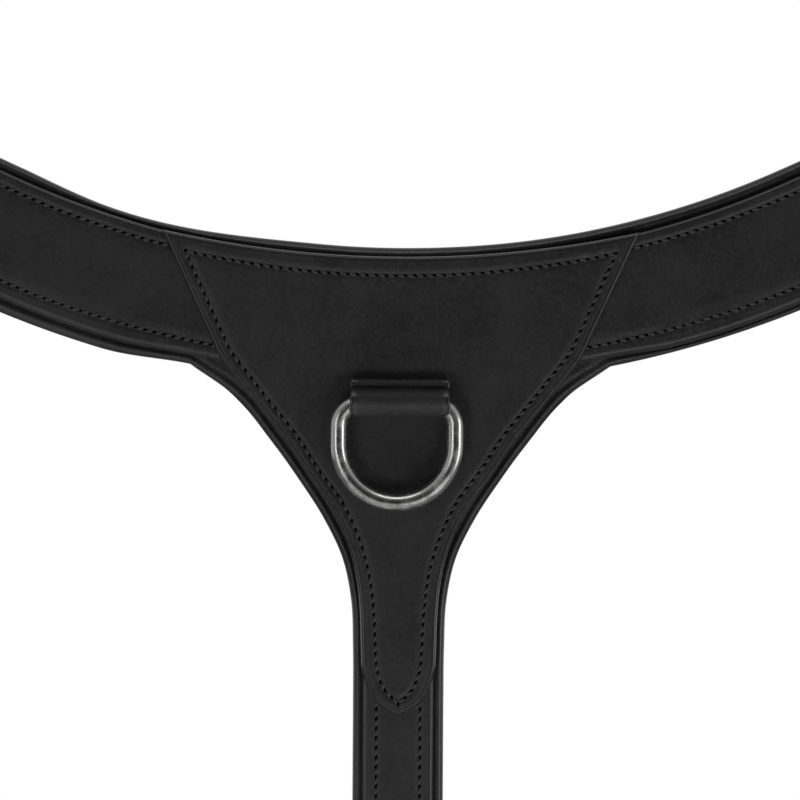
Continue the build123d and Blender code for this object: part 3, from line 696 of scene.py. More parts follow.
def colour_between(tree, fac, low, high):
    """Colour that runs from low to high with fac."""
    n = node(tree, "ShaderNodeMix", data_type="RGBA")
    n.inputs[6].default_value = (*low, 1)
    n.inputs[7].default_value = (*high, 1)
    link(tree, fac, n.inputs[0])
    return n.outputs[2]


def leather_material(name, group, dark, light, rough, bump, scuff=0.25, edge_rough=0.20, edge=1.5, waxed=2.4):
    """Dyed leather: colour between dark and light by the grain's tint, satin with duller specks, and a smoother
    burnished finish within edge millimetres of a cut rim, under a thin coat of wax that fades out at waxed."""
    m, t, p = new_material(name)
    g = node(t, "ShaderNodeGroup")
    g.node_tree = group
    rim = node(t, "ShaderNodeAttribute", attribute_name="rim").outputs["Fac"]
    body = span(t, rim, 0.35 * edge, edge)
    dyed = colour_between(t, span(t, g.outputs["Tint"], 0.35, 0.65), dark, light)
    seam = span(t, node(t, "ShaderNodeAttribute", attribute_name="seam").outputs["Fac"], 0.7, 2.0, 0.75, 0.0)
    rubbed = node(t, "ShaderNodeMix", data_type="RGBA")
    link(t, maths(t, "MULTIPLY", seam, g.outputs["Scuff"]), rubbed.inputs[0])
    link(t, dyed, rubbed.inputs[6])
    rubbed.inputs[7].default_value = (0.055, 0.055, 0.055, 1)
    link(t, rubbed.outputs[2], p.inputs["Base Color"])
    dull = maths(t, "ADD", rough, maths(t, "MULTIPLY", g.outputs["Scuff"], scuff))
    varied = maths(t, "ADD", dull, span(t, g.outputs["Tint"], 0.3, 0.7, -0.07, 0.07))
    mix = maths(t, "ADD", edge_rough, maths(t, "MULTIPLY", body, maths(t, "SUBTRACT", varied, edge_rough)))
    link(t, mix, p.inputs["Roughness"])
    bumped(t, p, g.outputs["Height"], bump, 0.00012)
    link(t, span(t, rim, 0.5 * waxed, waxed, 1.0, 0.0), p.inputs["Coat Weight"])
    p.inputs["Coat Roughness"].default_value = 0.20
    p.inputs["Specular IOR Level"].default_value = 0.5
    return m


def metal_material(name, colour, rough, bump=0.02):
    """Polished metal with a faint uneven buff."""
    m, t, p = new_material(name)
    p.inputs["Base Color"].default_value = (*colour, 1)
    p.inputs["Metallic"].default_value = 1.0
    buff = object_noise(t, 260.0, 3.0)
    link(t, span(t, buff, 0.35, 0.7, rough * 0.7, rough * 1.5), p.inputs["Roughness"])
    bumped(t, p, buff, bump, 0.0002)
    return m


def plain_material(name, colour, rough, bump=0.3, scale=900.0):
    """Matt stuff with a fine uneven surface."""
    m, t, p = new_material(name)
    fine = object_noise(t, scale, 3.0)
    low, high = [c * 0.7 for c in colour], [c * 1.25 for c in colour]
    link(t, colour_between(t, fine, low, high), p.inputs["Base Color"])
    p.inputs["Roughness"].default_value = rough
    bumped(t, p, fine, bump, 0.0001)
    return m


def web_material(name):
    """Elastic webbing: fine ribs across and rubber cords along, from the strap's own flat coordinates."""
    m, t, p = new_material(name)
    uv = node(t, "ShaderNodeUVMap", uv_map="UVMap").outputs["UV"]
    waves = []
    for direction, scale in (("X", 260.0), ("Y", 190.0)):
        w = node(t, "ShaderNodeTexWave", bands_direction=direction, inputs={"Scale": scale, "Distortion": 0.3,
                                                                           "Detail": 1.0})
        link(t, uv, w.inputs["Vector"])
        waves.append(w.outputs["Fac"])
    weave = maths(t, "MULTIPLY", waves[0], waves[1])
    link(t, colour_between(t, weave, (0.006, 0.006, 0.006), (0.03, 0.03, 0.031)), p.inputs["Base Color"])
    p.inputs["Roughness"].default_value = 0.75
    bumped(t, p, weave, 0.7, 0.0003)
    return m


MAT = {}


def make_materials(dye, thread, steel):
    """All finishes; dye scales how light the black is."""
    grain = grain_group()
    for key, dark, light, rough, bump, more in (("face", 0.010, 0.017, 0.46, 0.28, {}),
                                                ("lining", 0.009, 0.015, 0.40, 1.0, {"edge": 0.2, "waxed": 3.4}),
                                                ("strap", 0.011, 0.018, 0.44, 0.6, {}),
                                                ("keeper", 0.010, 0.019, 0.52, 0.9, {"scuff": 0.3})):
        tones = [(v * dye, v * dye, (v + 0.0005) * dye) for v in (dark, light)]
        MAT[key] = leather_material(key + "_leather", grain, *tones, rough, bump, **more)
    MAT["thread"] = plain_material("waxed_thread", thread, 0.36, scale=2500.0)
    # Near-black, matt, with no specular: painted shade for the dark inside the awl holes, put on the lenses that sew
    # lays there.
    MAT["hole_shade"] = plain_material("awl_hole_painted_shade", (0.0015, 0.0015, 0.0015), 0.95)
    MAT["hole_shade"].node_tree.nodes["Principled BSDF"].inputs["Specular IOR Level"].default_value = 0.0
    MAT["steel"] = metal_material("polished_steel", steel, 0.23)
    MAT["spring"] = metal_material("spring_steel", (0.45, 0.45, 0.46), 0.28)
    MAT["web"] = web_material("elastic_webbing")
    for what in ("body", "bolt", "eye", "spring"):
        for word in ("right", "left"):
            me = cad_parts["hook_" + what + "_" + word].data
            me.materials.clear()
            me.materials.append(MAT["spring" if what == "spring" else "steel"])


# ---- yoke ----
V_EDGE = [(57.0, 10.53), (43.9, 1.0), (35.2, -9.7), (27.4, -20.5), (20.4, -31.3), (15.3, -42.1), (13.0, -52.9),
          (12.4, -66.0), (12.3, -80.0)]
SHIELD_EDGE = [(64.5, 46.7), (54.6, 25.0), (48.7, 12.2), (37.9, -1.4), (30.6, -10.5), (24.6, -19.7), (18.4, -28.1),
               (15.3, -34.3), (12.7, -41.6), (11.0, -50.0), (10.4, -57.2), (10.1, -67.0), (9.9, -71.0),
               (8.1, -77.0), (5.4, -80.9), (0.0, -84.1)]
BELLY_RUN = -BEND_Z + BEND_R * BEND_TURN


def drift(r, a):
    """How far an edge of the chest leathers leaves its circle of radius r, a radians from straight down, positive to
    the right: slow steps. The left half of the soft lining is drawn in above the strap and fuller below it."""
    left, far = a < 0, np.abs(a)
    if r == R_LINING_TOP:
        return -0.27 + np.where(left, 2.1 * ease((far - 0.09) / 0.21) - 1.1 * ease((far - 0.31) / 0.12),
                                0.27 * ease(far / 0.2))
    if r == R_LINING_LOW:
        return np.where(left, 1.8 * ease((far - 0.2005) / 0.085), 0.0)
    if r == R_FACE_LOW:
        return 2.6 + 1.0 * ease((far - 0.2) / 0.07) - 0.3 * ease((far - 0.3) / 0.1)
    return 0.0 * a


def drifted(r, a, m=1):
    """Points of an edge of the chest leathers, right of the middle; m is -1 for the shape of the left half."""
    return polar(r + drift(r, m * a), a)


def arm_line(r, side, tail_half, cut, step=1.2):
    """arm_edge as both halves, left end to right end, with a row at the junction."""
    angles = np.concatenate([np.linspace(0, JUNCTION, 46)[:-1], np.linspace(JUNCTION, ARC_END, 50)[:-1]])
    right, left = (np.vstack([drifted(r, angles, m), arm_edge(r, side, tail_half, cut, ARC_END - 1e-6, step, m)])
                   for m in (1, -1))
    return np.vstack([left[:0:-1] * [-1, 1], right])


def round_both(a, b, reach):
    """Round ends on a pair of edge lines, at both ends."""
    a, b = rounded_end(a, b, reach)
    a, b = rounded_end(a[::-1], b[::-1], reach)
    return a[::-1], b[::-1]


def padded_lining():
    """The padded lining: a long band round the chest and a panel that narrows into the belly, each side a rolled
    edge. Its front sinks where the face leather is stitched down and its back swells between the seams."""
    top, low = arm_line(R_LINING_TOP, -1, 12.4, 14.0), arm_line(R_LINING_LOW, 1, 12.4, 14.0)
    mid = np.nonzero(np.abs(low[:, 0]) < R_LINING_LOW * math.sin(JUNCTION) + 1e-6)[0]
    top_row = low[mid]
    top, low = round_both(top, low, 12.4 * 0.8)
    side = smooth([tuple(top_row[-1])] + V_EDGE[1:] + [(12.3, -95.0), (12.3, -120.0)], 1.2)
    foot = -(BELLY_RUN + 40.0)
    side = np.vstack([side, [[12.3, z] for z in np.linspace(-120.0, foot, 150)[1:]]])
    m = len(top_row)
    u0 = (top_row[:, 0] / top_row[-1, 0] + 1) / 2
    sag = top_row[:, 1] - top_row[-1, 1]
    fine = across(2 * side[:, 0], m - 2 * len(FINE))
    fade = ease((np.arange(len(side)) / 14.0))[:, None]
    u = u0[None] * (1 - fade) + fine * fade
    drop = sag[None] * (1 - ease((10.53 - side[:, 1]) / 42.0))[:, None]
    panel = np.stack([side[:, :1] * (2 * u - 1), side[:, 1:] + drop], -1)
    outer = low[:, 0] > top_row[-1, 0] + 1e-6
    inner = low[:, 0] < top_row[0, 0] - 1e-6
    loop = np.vstack([top, low[outer][::-1], side, (side * [-1, 1])[::-1], low[inner][::-1]])
    seam_top = arm_line(R_SEAM_TOP, -1, 7.9, 49.0)
    seam_low = arm_line(R_SEAM_LOW, 1, 7.9, 49.0)
    side_seam = np.array([[x - 6.2, z] for x, z in side if z < -20.0])
    seams = [seam_top, seam_low[seam_low[:, 0] > 50], seam_low[seam_low[:, 0] < -50],
             side_seam, side_seam * [-1, 1]]

    def margin(p):
        """How far the face leather stays back from the lining's edge here."""
        r = np.hypot(p[..., 0], p[..., 1] - YOKE_C)
        turn = np.arctan2(p[..., 0], YOKE_C - p[..., 1])
        a = np.abs(turn)
        above = R_FACE_TOP - R_LINING_TOP - drift(R_LINING_TOP, turn) + 0.9 * ease((a - 0.6) / 0.2)
        below = R_LINING_LOW + drift(R_LINING_LOW, turn) - R_FACE_LOW - drift(R_FACE_LOW, turn)
        edge = np.where(r < ARM_MID_R, above, below - 1.0 * ease((a - 0.6) / 0.2))
        return np.where((r > R_LINING_LOW + 0.5) & (a < JUNCTION + 0.04), 2.7, edge)

    def front(d, p):
        m_ = margin(p)
        roll = 2.55 + 2.55 * bulge(d, 0.62 * m_) + 0.06 * ripple(p, 1.7, 1.0) * np.exp(-((d - 0.5 * m_) / 1.4) ** 2)
        gap = 0.6
        return np.minimum(roll - gap * dent(d, m_, 0.20 * m_ + 0.12), np.where(d > m_ + 0.3, 4.9, 9.0))

    def back(d, p):
        return 2.45 - 2.45 * bulge(d, 2.3) + 0.12 * ripple(p, 7.0, 2.0) * ease(d / 3)

    sheet = Sheet(loop, front, back, lambda p, depth: np.where((p[..., 1] < -60)[..., None], hung(p, depth),
                                                              worn(p, depth)),
                  seams=seams, groove=0.0, width=0.7, back_groove=1.15)
    o = leather("padded_lining", sheet, [strip(top, low, 12), panel], "yoke", MAT["lining"])
    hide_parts("chest_lining", "chest_padding", "belly_lining")
    sew("lining_back", [(sheet, s) for s in seams], "yoke", 3.4, behind=True)


def face_front(base, t, edge=0.85, lip=0.35, low_edge=None):
    """Front of a face leather: a bevelled rim, a crease line beside it and a slow unevenness inside. Below the
    middle line of the chest the bevel is low_edge wide instead."""
    def front(d, p):
        wide, crease = edge, 1.35
        if low_edge:
            low = np.hypot(p[..., 0], p[..., 1] - YOKE_C) > ARM_MID_R
            wide, crease = np.where(low, low_edge, edge), np.where(low, low_edge + 0.35, 1.35)
        return (base + t * (lip + (1 - lip) * bulge(d, wide)) - 0.26 * (1 - np.clip(d / 1.15, 0, 1)) ** 1.3
                - 0.13 * dent(d, crease, 0.20) + 0.05 * ripple(p, 11.0, 5.0) * ease(d / 4))
    return front


def face_back(base, t):
    def back(d, p):
        return base + 0.14 * t * (1 - bulge(d, 0.5))
    return back


def chest_straps(pitch):
    """The two face straps of the chest, from the middle out round the shoulders, with a seam inside each edge."""
    base = LINING_T + CLEAR
    seams = []
    for m, word in ((1, "right"), (-1, "left")):
        a = np.vstack([drifted(R_FACE_TOP, np.linspace(0.0004, ARC_END, 110)[:-1]),
                       arm_edge(R_FACE_TOP, -1, 10.4, 0.0, ARC_END - 1e-6, 1.0)])
        b = np.vstack([drifted(R_FACE_LOW, np.linspace(0.0004, ARC_END, 110)[:-1]),
                       arm_edge(R_FACE_LOW, 1, 10.4, 0.0, ARC_END - 1e-6, 1.0)])
        a, b = rounded_end(a, b, 4.0)
        lines = []
        for r, side, start in ((R_SEAM_TOP, -1, 0.235), (R_SEAM_LOW, 1, 0.165)):
            line = np.vstack([polar(r, np.linspace(start, ARC_END, 60)[:-1]),
                              arm_edge(r, side, 7.9, 50.0, ARC_END - 1e-6, 1.0)])
            lines.append(line)
        sheet = Sheet(loop_of(a, b), face_front(base, FACE_T, low_edge=1.9), face_back(base, FACE_T), worn,
                      seams=lines, groove=0.42, width=0.6, mirror=m < 0)
        o = leather("chest_strap_leather_" + word, sheet, [strip(a, b, 10)], "yoke", MAT["face"])
        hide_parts("chest_strap_" + word)
        seams += [(sheet, line) for line in lines]
    sew("chest_strap", seams, "yoke", pitch)


def inset_line(line, d):
    """A line moved sideways by d."""
    t = unit(np.gradient(line, axis=0))
    return line + np.stack([-t[:, 1], t[:, 0]], -1) * d


def shield(pitch):
    """The breast shield: a straight-sided top that narrows through a waist into a pointed tongue, slit for the
    dee's keeper, with one seam all round."""
    low = smooth(SHIELD_EDGE[2:], 0.9)
    upper = np.linspace(SHIELD_EDGE[0], SHIELD_EDGE[2], 40)[:-1]
    side = np.vstack([upper, low])
    side[-1, 0] = 0.05
    half, rise = SHIELD_EDGE[0][0], 7.0
    r0 = (half ** 2 + rise ** 2) / (2 * rise)
    sag = lambda x: r0 - np.sqrt(r0 ** 2 - x ** 2)
    cols = 80
    u = across(2 * side[:, 0], cols)
    x = side[:, :1] * (2 * u - 1)
    fade = 1 - ease((46.7 - side[:, 1:]) / 36.0)
    z = side[:, 1:] + (sag(x) - sag(side[:, :1])) * fade
    top_rows = np.array([0.06, 0.2, 0.42, 0.7])
    grid = np.stack([x, z], -1)
    extra = grid[:1] + (grid[1:2] - grid[:1]) * (top_rows / np.linalg.norm(side[1] - side[0]))[:, None, None]
    grid = np.concatenate([grid[:1], extra, grid[1:]])
    loop = np.vstack([grid[0], side[1:], (side * [-1, 1])[::-1][:-1]])
    seam_side = inset_line(side, -3.45)
    inner = np.interp(seam_side[:, 1][::-1], [-84, -78, -70, -50, -30, 50], [3.2, 3.9, 4.0, 3.6, 3.45, 3.45])[::-1]
    seam_side = side + (seam_side - side) * (inner / 3.45)[:, None]
    seam_side = seam_side[(seam_side[:, 0] > 0.02)]
    xs = np.linspace(-59.2, 59.2, 90)
    seam_top = np.stack([xs, 39.7 + 1.12 * sag(xs) - 5.1], -1)
    last = seam_top[-1]
    seam_side = seam_side[(seam_side[:, 1] < last[1]) & (seam_side[:, 1] > -80.9)]
    seam_top = seam_top[np.abs(seam_top[:, 0]) < seam_side[0, 0] + 0.4]
    tip = np.array([[0.0, -80.7]])
    down = np.vstack([seam_top[-1:], seam_side, tip])
    lines = [seam_top, down, down * [-1, 1]]
    base = LINING_T + FACE_T + CLEAR
    skin = face_front(base, SHIELD_T, edge=0.8, lip=0.38)

    def front(d, p):
        ring_dent = 0.10 * dent(np.hypot(p[..., 0], p[..., 1] + 10.0), 17.0, 2.0) * ease((-p[..., 1] - 4) / 6)
        return skin(d, p) - ring_dent

    sheet = Sheet(loop, front, face_back(base, SHIELD_T), lambda p, depth: worn(p, depth), seams=lines,
                  groove=0.42, width=0.6)
    slit = [(-KEEPER_HALF + 1.1, KEEPER_HALF - 1.1, 5.4, 0.85)]
    o = leather("breast_shield_leather", sheet, [refine_rows(grid, 3.4, 7.6, 0.35)], "yoke", MAT["face"],
                holes=slit)
    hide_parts("breast_shield")
    sew("shield", [(sheet, line) for line in lines], "yoke", pitch)


def stiffener():
    """The stiffener: a flat leather filler between the lining and the shield, below the two chest straps."""
    side = smooth([(38.0, 8.9), (35.8, -1.0), (28.4, -10.5), (22.4, -19.7), (16.2, -28.1), (12.8, -34.3),
                   (10.4, -41.6)], 1.0)
    u = across(2 * side[:, 0], 30)
    drop = 2.5 * (1 - (2 * u - 1) ** 2) * ease((side[:, 1:] + 41.6) / 50.5)
    grid = np.stack([side[:, :1] * (2 * u - 1), side[:, 1:] - drop], -1)
    loop = np.vstack([grid[0], side[1:], (side * [-1, 1])[::-1][:-1]])
    base = LINING_T + CLEAR
    sheet = Sheet(loop, face_front(base, FACE_T - 0.06), face_back(base, FACE_T), worn)
    o = leather("yoke_stiffener_leather", sheet, [grid], "yoke", MAT["face"])
    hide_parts("yoke_stiffener")


KEEPER_HALF = 13.4


def refine_rows(grid, z0, z1, step):
    """More rows where the middle of a grid lies between two heights."""
    mid = grid[:, grid.shape[1] // 2, 1]
    out = []
    for i in range(len(grid) - 1):
        n = max(int(abs(mid[i + 1] - mid[i]) / step), 1) if z0 < mid[i] < z1 else 1
        t = np.arange(n)[:, None, None] / n
        out.append(grid[i][None] * (1 - t) + grid[i + 1][None] * t)
    return np.concatenate(out + [grid[-1:]])


def belly_strap(pitch):
    """The belly strap from under the tongue, down and back between the forelegs, with a seam inside each edge."""
    z = np.concatenate([[-42.0, -42.1, -42.4], np.linspace(-43.2, -(BELLY_RUN + 79.2), 330),
                        -(BELLY_RUN + 80.0) + np.array([0.4, 0.1, 0.0])])
    a, b = np.stack([np.full(len(z), -9.5), z], -1), np.stack([np.full(len(z), 9.5), z], -1)
    ends = -(BELLY_RUN + 36.0)
    lines = [np.array([[x, -79.6], [x, -140.0], [x, -230.0], [x, ends]]) for x in (-5.9, 5.9)]
    lines = [resample(line, 2.0) for line in lines]
    base = LINING_T + CLEAR
    sheet = Sheet(loop_of(a, b), face_front(base, FACE_T), face_back(base, FACE_T), hung, seams=lines, groove=0.4,
                  width=0.6)
    o = leather("belly_strap_leather", sheet, [strip(a, b, 8)], "yoke", MAT["face"])
    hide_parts("belly_strap")
    sew("belly_strap", [(sheet, line) for line in lines], "yoke", pitch)


# ---- the dee and its keeper ----
def dee():
    """The dee: a straight bar, small corners, straight sides and a half round, one closed round wire."""
    c, h, drop = 5.8, 15.65, 10.7
    path = np.vstack([corner((h - c, -c), c, 90, 0, 14), [[h, -drop * 0.75]], corner((0, -drop), h, 0, -180, 72),
                      [[-h, -drop * 0.75]], corner((-h + c, -c), c, 180, 90, 14),
                      [[x, 0] for x in np.linspace(-h + c, h - c, 12)[1:-1]]])
    path = np.stack([path[:, 0] - 0.8, np.full(len(path), BAR_Y), path[:, 1]], -1)
    v, q, _ = tube(path, WIRE_R, 36)
    o = put("dee_wire", v, q, "dee", MAT["steel"])
    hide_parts("dee_ring")


def keeper():
    """The dee's keeper: a strip drawn through the slit, folded down over the bar and back up behind it; thin at
    the slit and full over the bar."""
    r = FOLD_R
    depth = -BAR_Y
    path = [(-5.2, 7.2), (-5.4, 8.8), (-5.9, 10.4), (-6.15, 11.6), (-6.15, 12.5), (-5.85, 13.1), (-5.3, 13.22),
            (-4.7, 13.05), (-4.2, 12.98), (-3.85, 13.35), (-3.5, 14.2)]
    ring = [(-0.5 + 0.93 * r * math.sin(a), depth + r * math.cos(a)) for a in np.radians(np.linspace(-52, 142, 14))]
    path += ring + [(0.9, 10.75), (-1.2, 10.5), (-3.4, 10.45), (-4.55, 10.1), (-4.9, 8.8), (-4.95, 7.2)]
    run = Run(KEEPER_LAY, path, 0.25)
    length = run.length

    def t(p):
        e = np.minimum(p[..., 0], length - p[..., 0])
        return 0.85 + 0.40 * ease((e - 2.0) / 2.0) + 0.55 * ease((e - 7.5) / 3.0)

    a, b = run_edges(length, KEEPER_HALF, 0.4)
    skin_front, skin_back = strap_skins(t, 0.7)

    def front(d, p):
        return skin_front(d, p) + 0.09 * ripple(p, 2.6, 9.0) * ease(d / 1.5) - 0.06 * dent(d, 1.4, 0.3)

    sheet = Sheet(loop_of(a, b), front, skin_back, run.place)
    o = leather("dee_keeper_leather", sheet, [strip(a, b, 26)], "yoke", MAT["keeper"])
    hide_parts("dee_keeper")


# ---- arm ends ----
def cuff_shift(sign):
    """How far the ring's wire falls away from its outermost point across the strap, fading along the leaves."""
    def shift(s, c):
        fall = RING_R - np.sqrt(RING_R ** 2 - np.clip(np.abs(c), 0, 12) ** 2)
        return -sign * fall * ease(1 - (np.abs(s) - RING_R) / 14.0)
    return shift


def ring_cuff(name, sign, far, lay, body, node_name, mirror, pocket):
    """A chape folded round the shoulder ring, with two leaves away from it; sign +1 towards the elastic."""
    r = FOLD_R
    leaf = 1.62 if pocket else 0.92
    apex = [(RING_R + r * math.cos(a), r * math.sin(a)) for a in np.radians(np.linspace(262, 98, 15))]
    side = [(far, -leaf), (far - 14, -leaf), (RING_R + 22, -1.0), (RING_R + 11, -1.1), (RING_R + 5.5, -2.1)]
    path = np.array(side + apex + [(s, -n) for s, n in side[::-1]])
    if sign < 0:
        path = path[::-1] * [-1, 1]
    run = Run(lay, path, 0.35, cuff_shift(sign))
    length = run.length

    def wide(x):
        e = np.minimum(x, length - x)
        w = 9.7 + 0.0 * x
        return np.where(e < 21, 12.6 - 2.9 * ease((e - 17.5) / 3.5), w) if pocket else w

    def t(p):
        e = np.minimum(p[..., 0], length - p[..., 0])
        return 1.22 + 0.58 * ease((e - 17.5) / 5.0) if pocket else 1.8 + 0 * e

    end, stop = 2.6, (15.0 if pocket else far - RING_R - 10.0)
    lines = []
    for x0, x1 in ((end, stop), (length - end, length - stop)):
        y = 9.6 if pocket else 7.2
        ring = [(x0, -y), (x1, -y), (x1, y), (x0, y), (x0, -y)]
        lines.append(resample(ring, 1.0))
    o, sheet = strap(name, run, 9.7, t, body, MAT["strap"], seams=lines, ends=("soft", "soft"), mirror=mirror,
                     wide=wide, step=0.7, groove=0.22)
    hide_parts(node_name)
    return [(sheet, line) for line in lines]


def buckle_chape_path(length, leaf):
    """Side outline of a chape folded round the heel bar at 0, 0."""
    r = 2.68
    apex = [(r * math.cos(a), r * math.sin(a)) for a in np.radians(np.linspace(96, -96, 17))]
    top = [(-length, leaf), (-length + 14, leaf), (-length + 22, 1.15), (-12, 1.15), (-5.5, 1.75)]
    return top + apex + [(s, -n) for s, n in top[::-1]]


def buckle_chape(name, lay, length, pocket, body, node_name, mirror=False):
    leaf = 1.66 if pocket else 1.15
    run = Run(lay, buckle_chape_path(length, leaf), 0.35)
    total = run.length

    def wide(x):
        e = np.minimum(x, total - x)
        return np.where(e < 21, 12.6 - 3.1 * ease((e - 12.6) / 3.6), 9.5) if pocket else 9.5 + 0 * x

    def t(p):
        e = np.minimum(p[..., 0], total - p[..., 0])
        return 1.2 + 1.0 * ease((e - 17.0) / 5.0) if pocket else 2.2 + 0 * e

    slot = [(run.where(-7.0) + 2.2, run.where(-7.0, False) - 2.2, 0.0, 2.2)]
    lines = []
    stop = 12.4 if pocket else length - 46.0
    for x0, x1 in ((2.6, stop), (total - 2.6, total - stop)):
        y = 9.6 if pocket else 6.8
        lines.append(resample([(x0, -y), (x1, -y), (x1, y), (x0, y), (x0, -y)], 1.0))
    if not pocket:
        for x0, x1 in ((stop + 2.6, length - 27.0), (total - stop - 2.6, total - length + 27.0)):
            lines += [resample([(x0, y), (x1, y)], 1.0) for y in (-6.8, 6.8)]
    o, sheet = strap(name, run, 9.5, t, body, MAT["strap"], seams=lines, ends=("soft", "soft"), mirror=mirror,
                     holes=slot, middle=14, wide=wide, step=0.7, groove=0.2)
    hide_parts(node_name)
    return [(sheet, line) for line in lines]


def buckle_metal(prefix, lay, bodies, nodes, mirror):
    """Buckle frame as one closed wire, thick at the sides; a roller on the far bar; a tongue with an eye."""
    far = np.array([24.0, 3.5])
    w, r = 11.7, 3.0
    outline = np.vstack([corner((x, y), r, a, a + 90, 8) for x, y, a in
                         ((24.0 - r, w - r, 0), (r, w - r, 90), (r, -w + r, 180), (24.0 - r, -w + r, 270))])
    outline = resample(np.vstack([outline, outline[:1]]), 0.8)[:-1]
    s = outline[:, 0]
    path = lay.point(s, outline[:, 1], s * far[1] / far[0])
    side = ease((np.abs(outline[:, 1]) - (w - 2.6)) / 2.2)
    wire = tube(path, 1.5, 24, squash=(1 + 0.62 * side, 1 - 0.1 * side))
    shell = [(-9.9, 1.6), (-9.9, 2.3), (-9.6, 2.6), (9.6, 2.6), (9.9, 2.3), (9.9, 1.6)]
    roller = turned(shell, lay.moved(far[0], far[1]), 36, axis="c", closed=True)
    v, q, t = turned(rounded(3.0, 1.3, 0.5, 4) + [0.0, 2.22], lay, 32, axis="c", closed=True)
    eye = (v, q[:, ::-1], t)
    line = smooth([(1.0, 1.9), (3.4, 2.2), (8.0, 3.7), (12.0, 5.2), (17.0, 6.75), (21.0, 7.35), (26.6, 7.4)], 0.7)
    points = lay.point(line[:, 0], 0 * line[:, 0], line[:, 1])
    k = np.linspace(0, 1, len(points))
    taper = np.where(k > 0.93, np.sqrt(np.clip(1 - ((k - 0.93) / 0.07) ** 2, 0.03, 1)), 1.0)
    rod = tube(points, 1.0 * taper, 20, closed=False, squash=(1.5 - 0.35 * k, 0.9 - 0.1 * k))
    for part, (v, q, t), body, old in zip(("_frame", "_roller_tube", "_tongue_rod"),
                                          (wire, roller, joined([eye, rod])), bodies, nodes):
        o = put(prefix + part, v, q, body, MAT["steel"], tris=t, mirror=mirror)
        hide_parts(old)


def loop_keeper(name, lay, s0, s1, body, node_name, mirror):
    """A flat leather loop round strap and chape: a rounded oblong path with a rounded flat section."""
    path = rounded(2 * 10.6, 7.85 + 1.4, 1.5, 7)
    path = resample(np.vstack([path, path[:1]]), 0.7)[:-1]
    path[:, 1] += (5.25 - 2.6) / 2
    nxt, prv = np.roll(path, -1, axis=0), np.roll(path, 1, axis=0)
    t = unit(nxt - prv)
    out = np.stack([t[:, 1], -t[:, 0]], -1)
    sec = rounded(s1 - s0, 1.4, 0.6, 5)
    c = path[:, None, 0] + out[:, None, 0] * sec[None, :, 1]
    n = path[:, None, 1] + out[:, None, 1] * sec[None, :, 1]
    s = np.broadcast_to((s0 + s1) / 2 + sec[None, :, 0], c.shape)
    v, q = lay.point(s, c, n).reshape(-1, 3), ring_quads(*c.shape, closed=True)
    o = put(name, v, q, body, MAT["strap"], mirror=mirror)
    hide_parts(node_name)


OVER_BUCKLE = [(-84.0, 3.6), (-60.0, 3.6), (-40.0, 3.6), (-24.0, 3.6), (-14.0, 3.7), (-7.0, 4.7), (-2.5, 5.3),
               (2.0, 5.15), (6.0, 4.15), (10.5, 2.3), (15.0, 0.4), (19.5, -0.55), (25.0, -0.7)]
HOLES_S = (-67.0, -42.0, -17.0, 33.0, 58.0)


def buckled_strap(name, lay, path, body, node_name, lines_at, mirror=False):
    """A strap that lies over the chape, dives through the buckle and runs on, with its holes and pointed tip."""
    run = Run(lay, path, 0.4)
    holes = [(run.where(s), run.where(s), 0.0, 2.1) for s in HOLES_S]
    holes.append((run.where(2.6) + 2.3, run.where(14.4) - 2.3, 0.0, 2.3))
    lines = [resample(line, 1.0) for line in lines_at(run)]
    o, sheet = strap(name, run, 9.5, 2.3, body, MAT["strap"], seams=lines, ends=("point", "soft"), holes=holes,
                     middle=15, mirror=mirror, step=1.0, groove=0.2)
    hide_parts(node_name)
    return [(sheet, line) for line in lines]


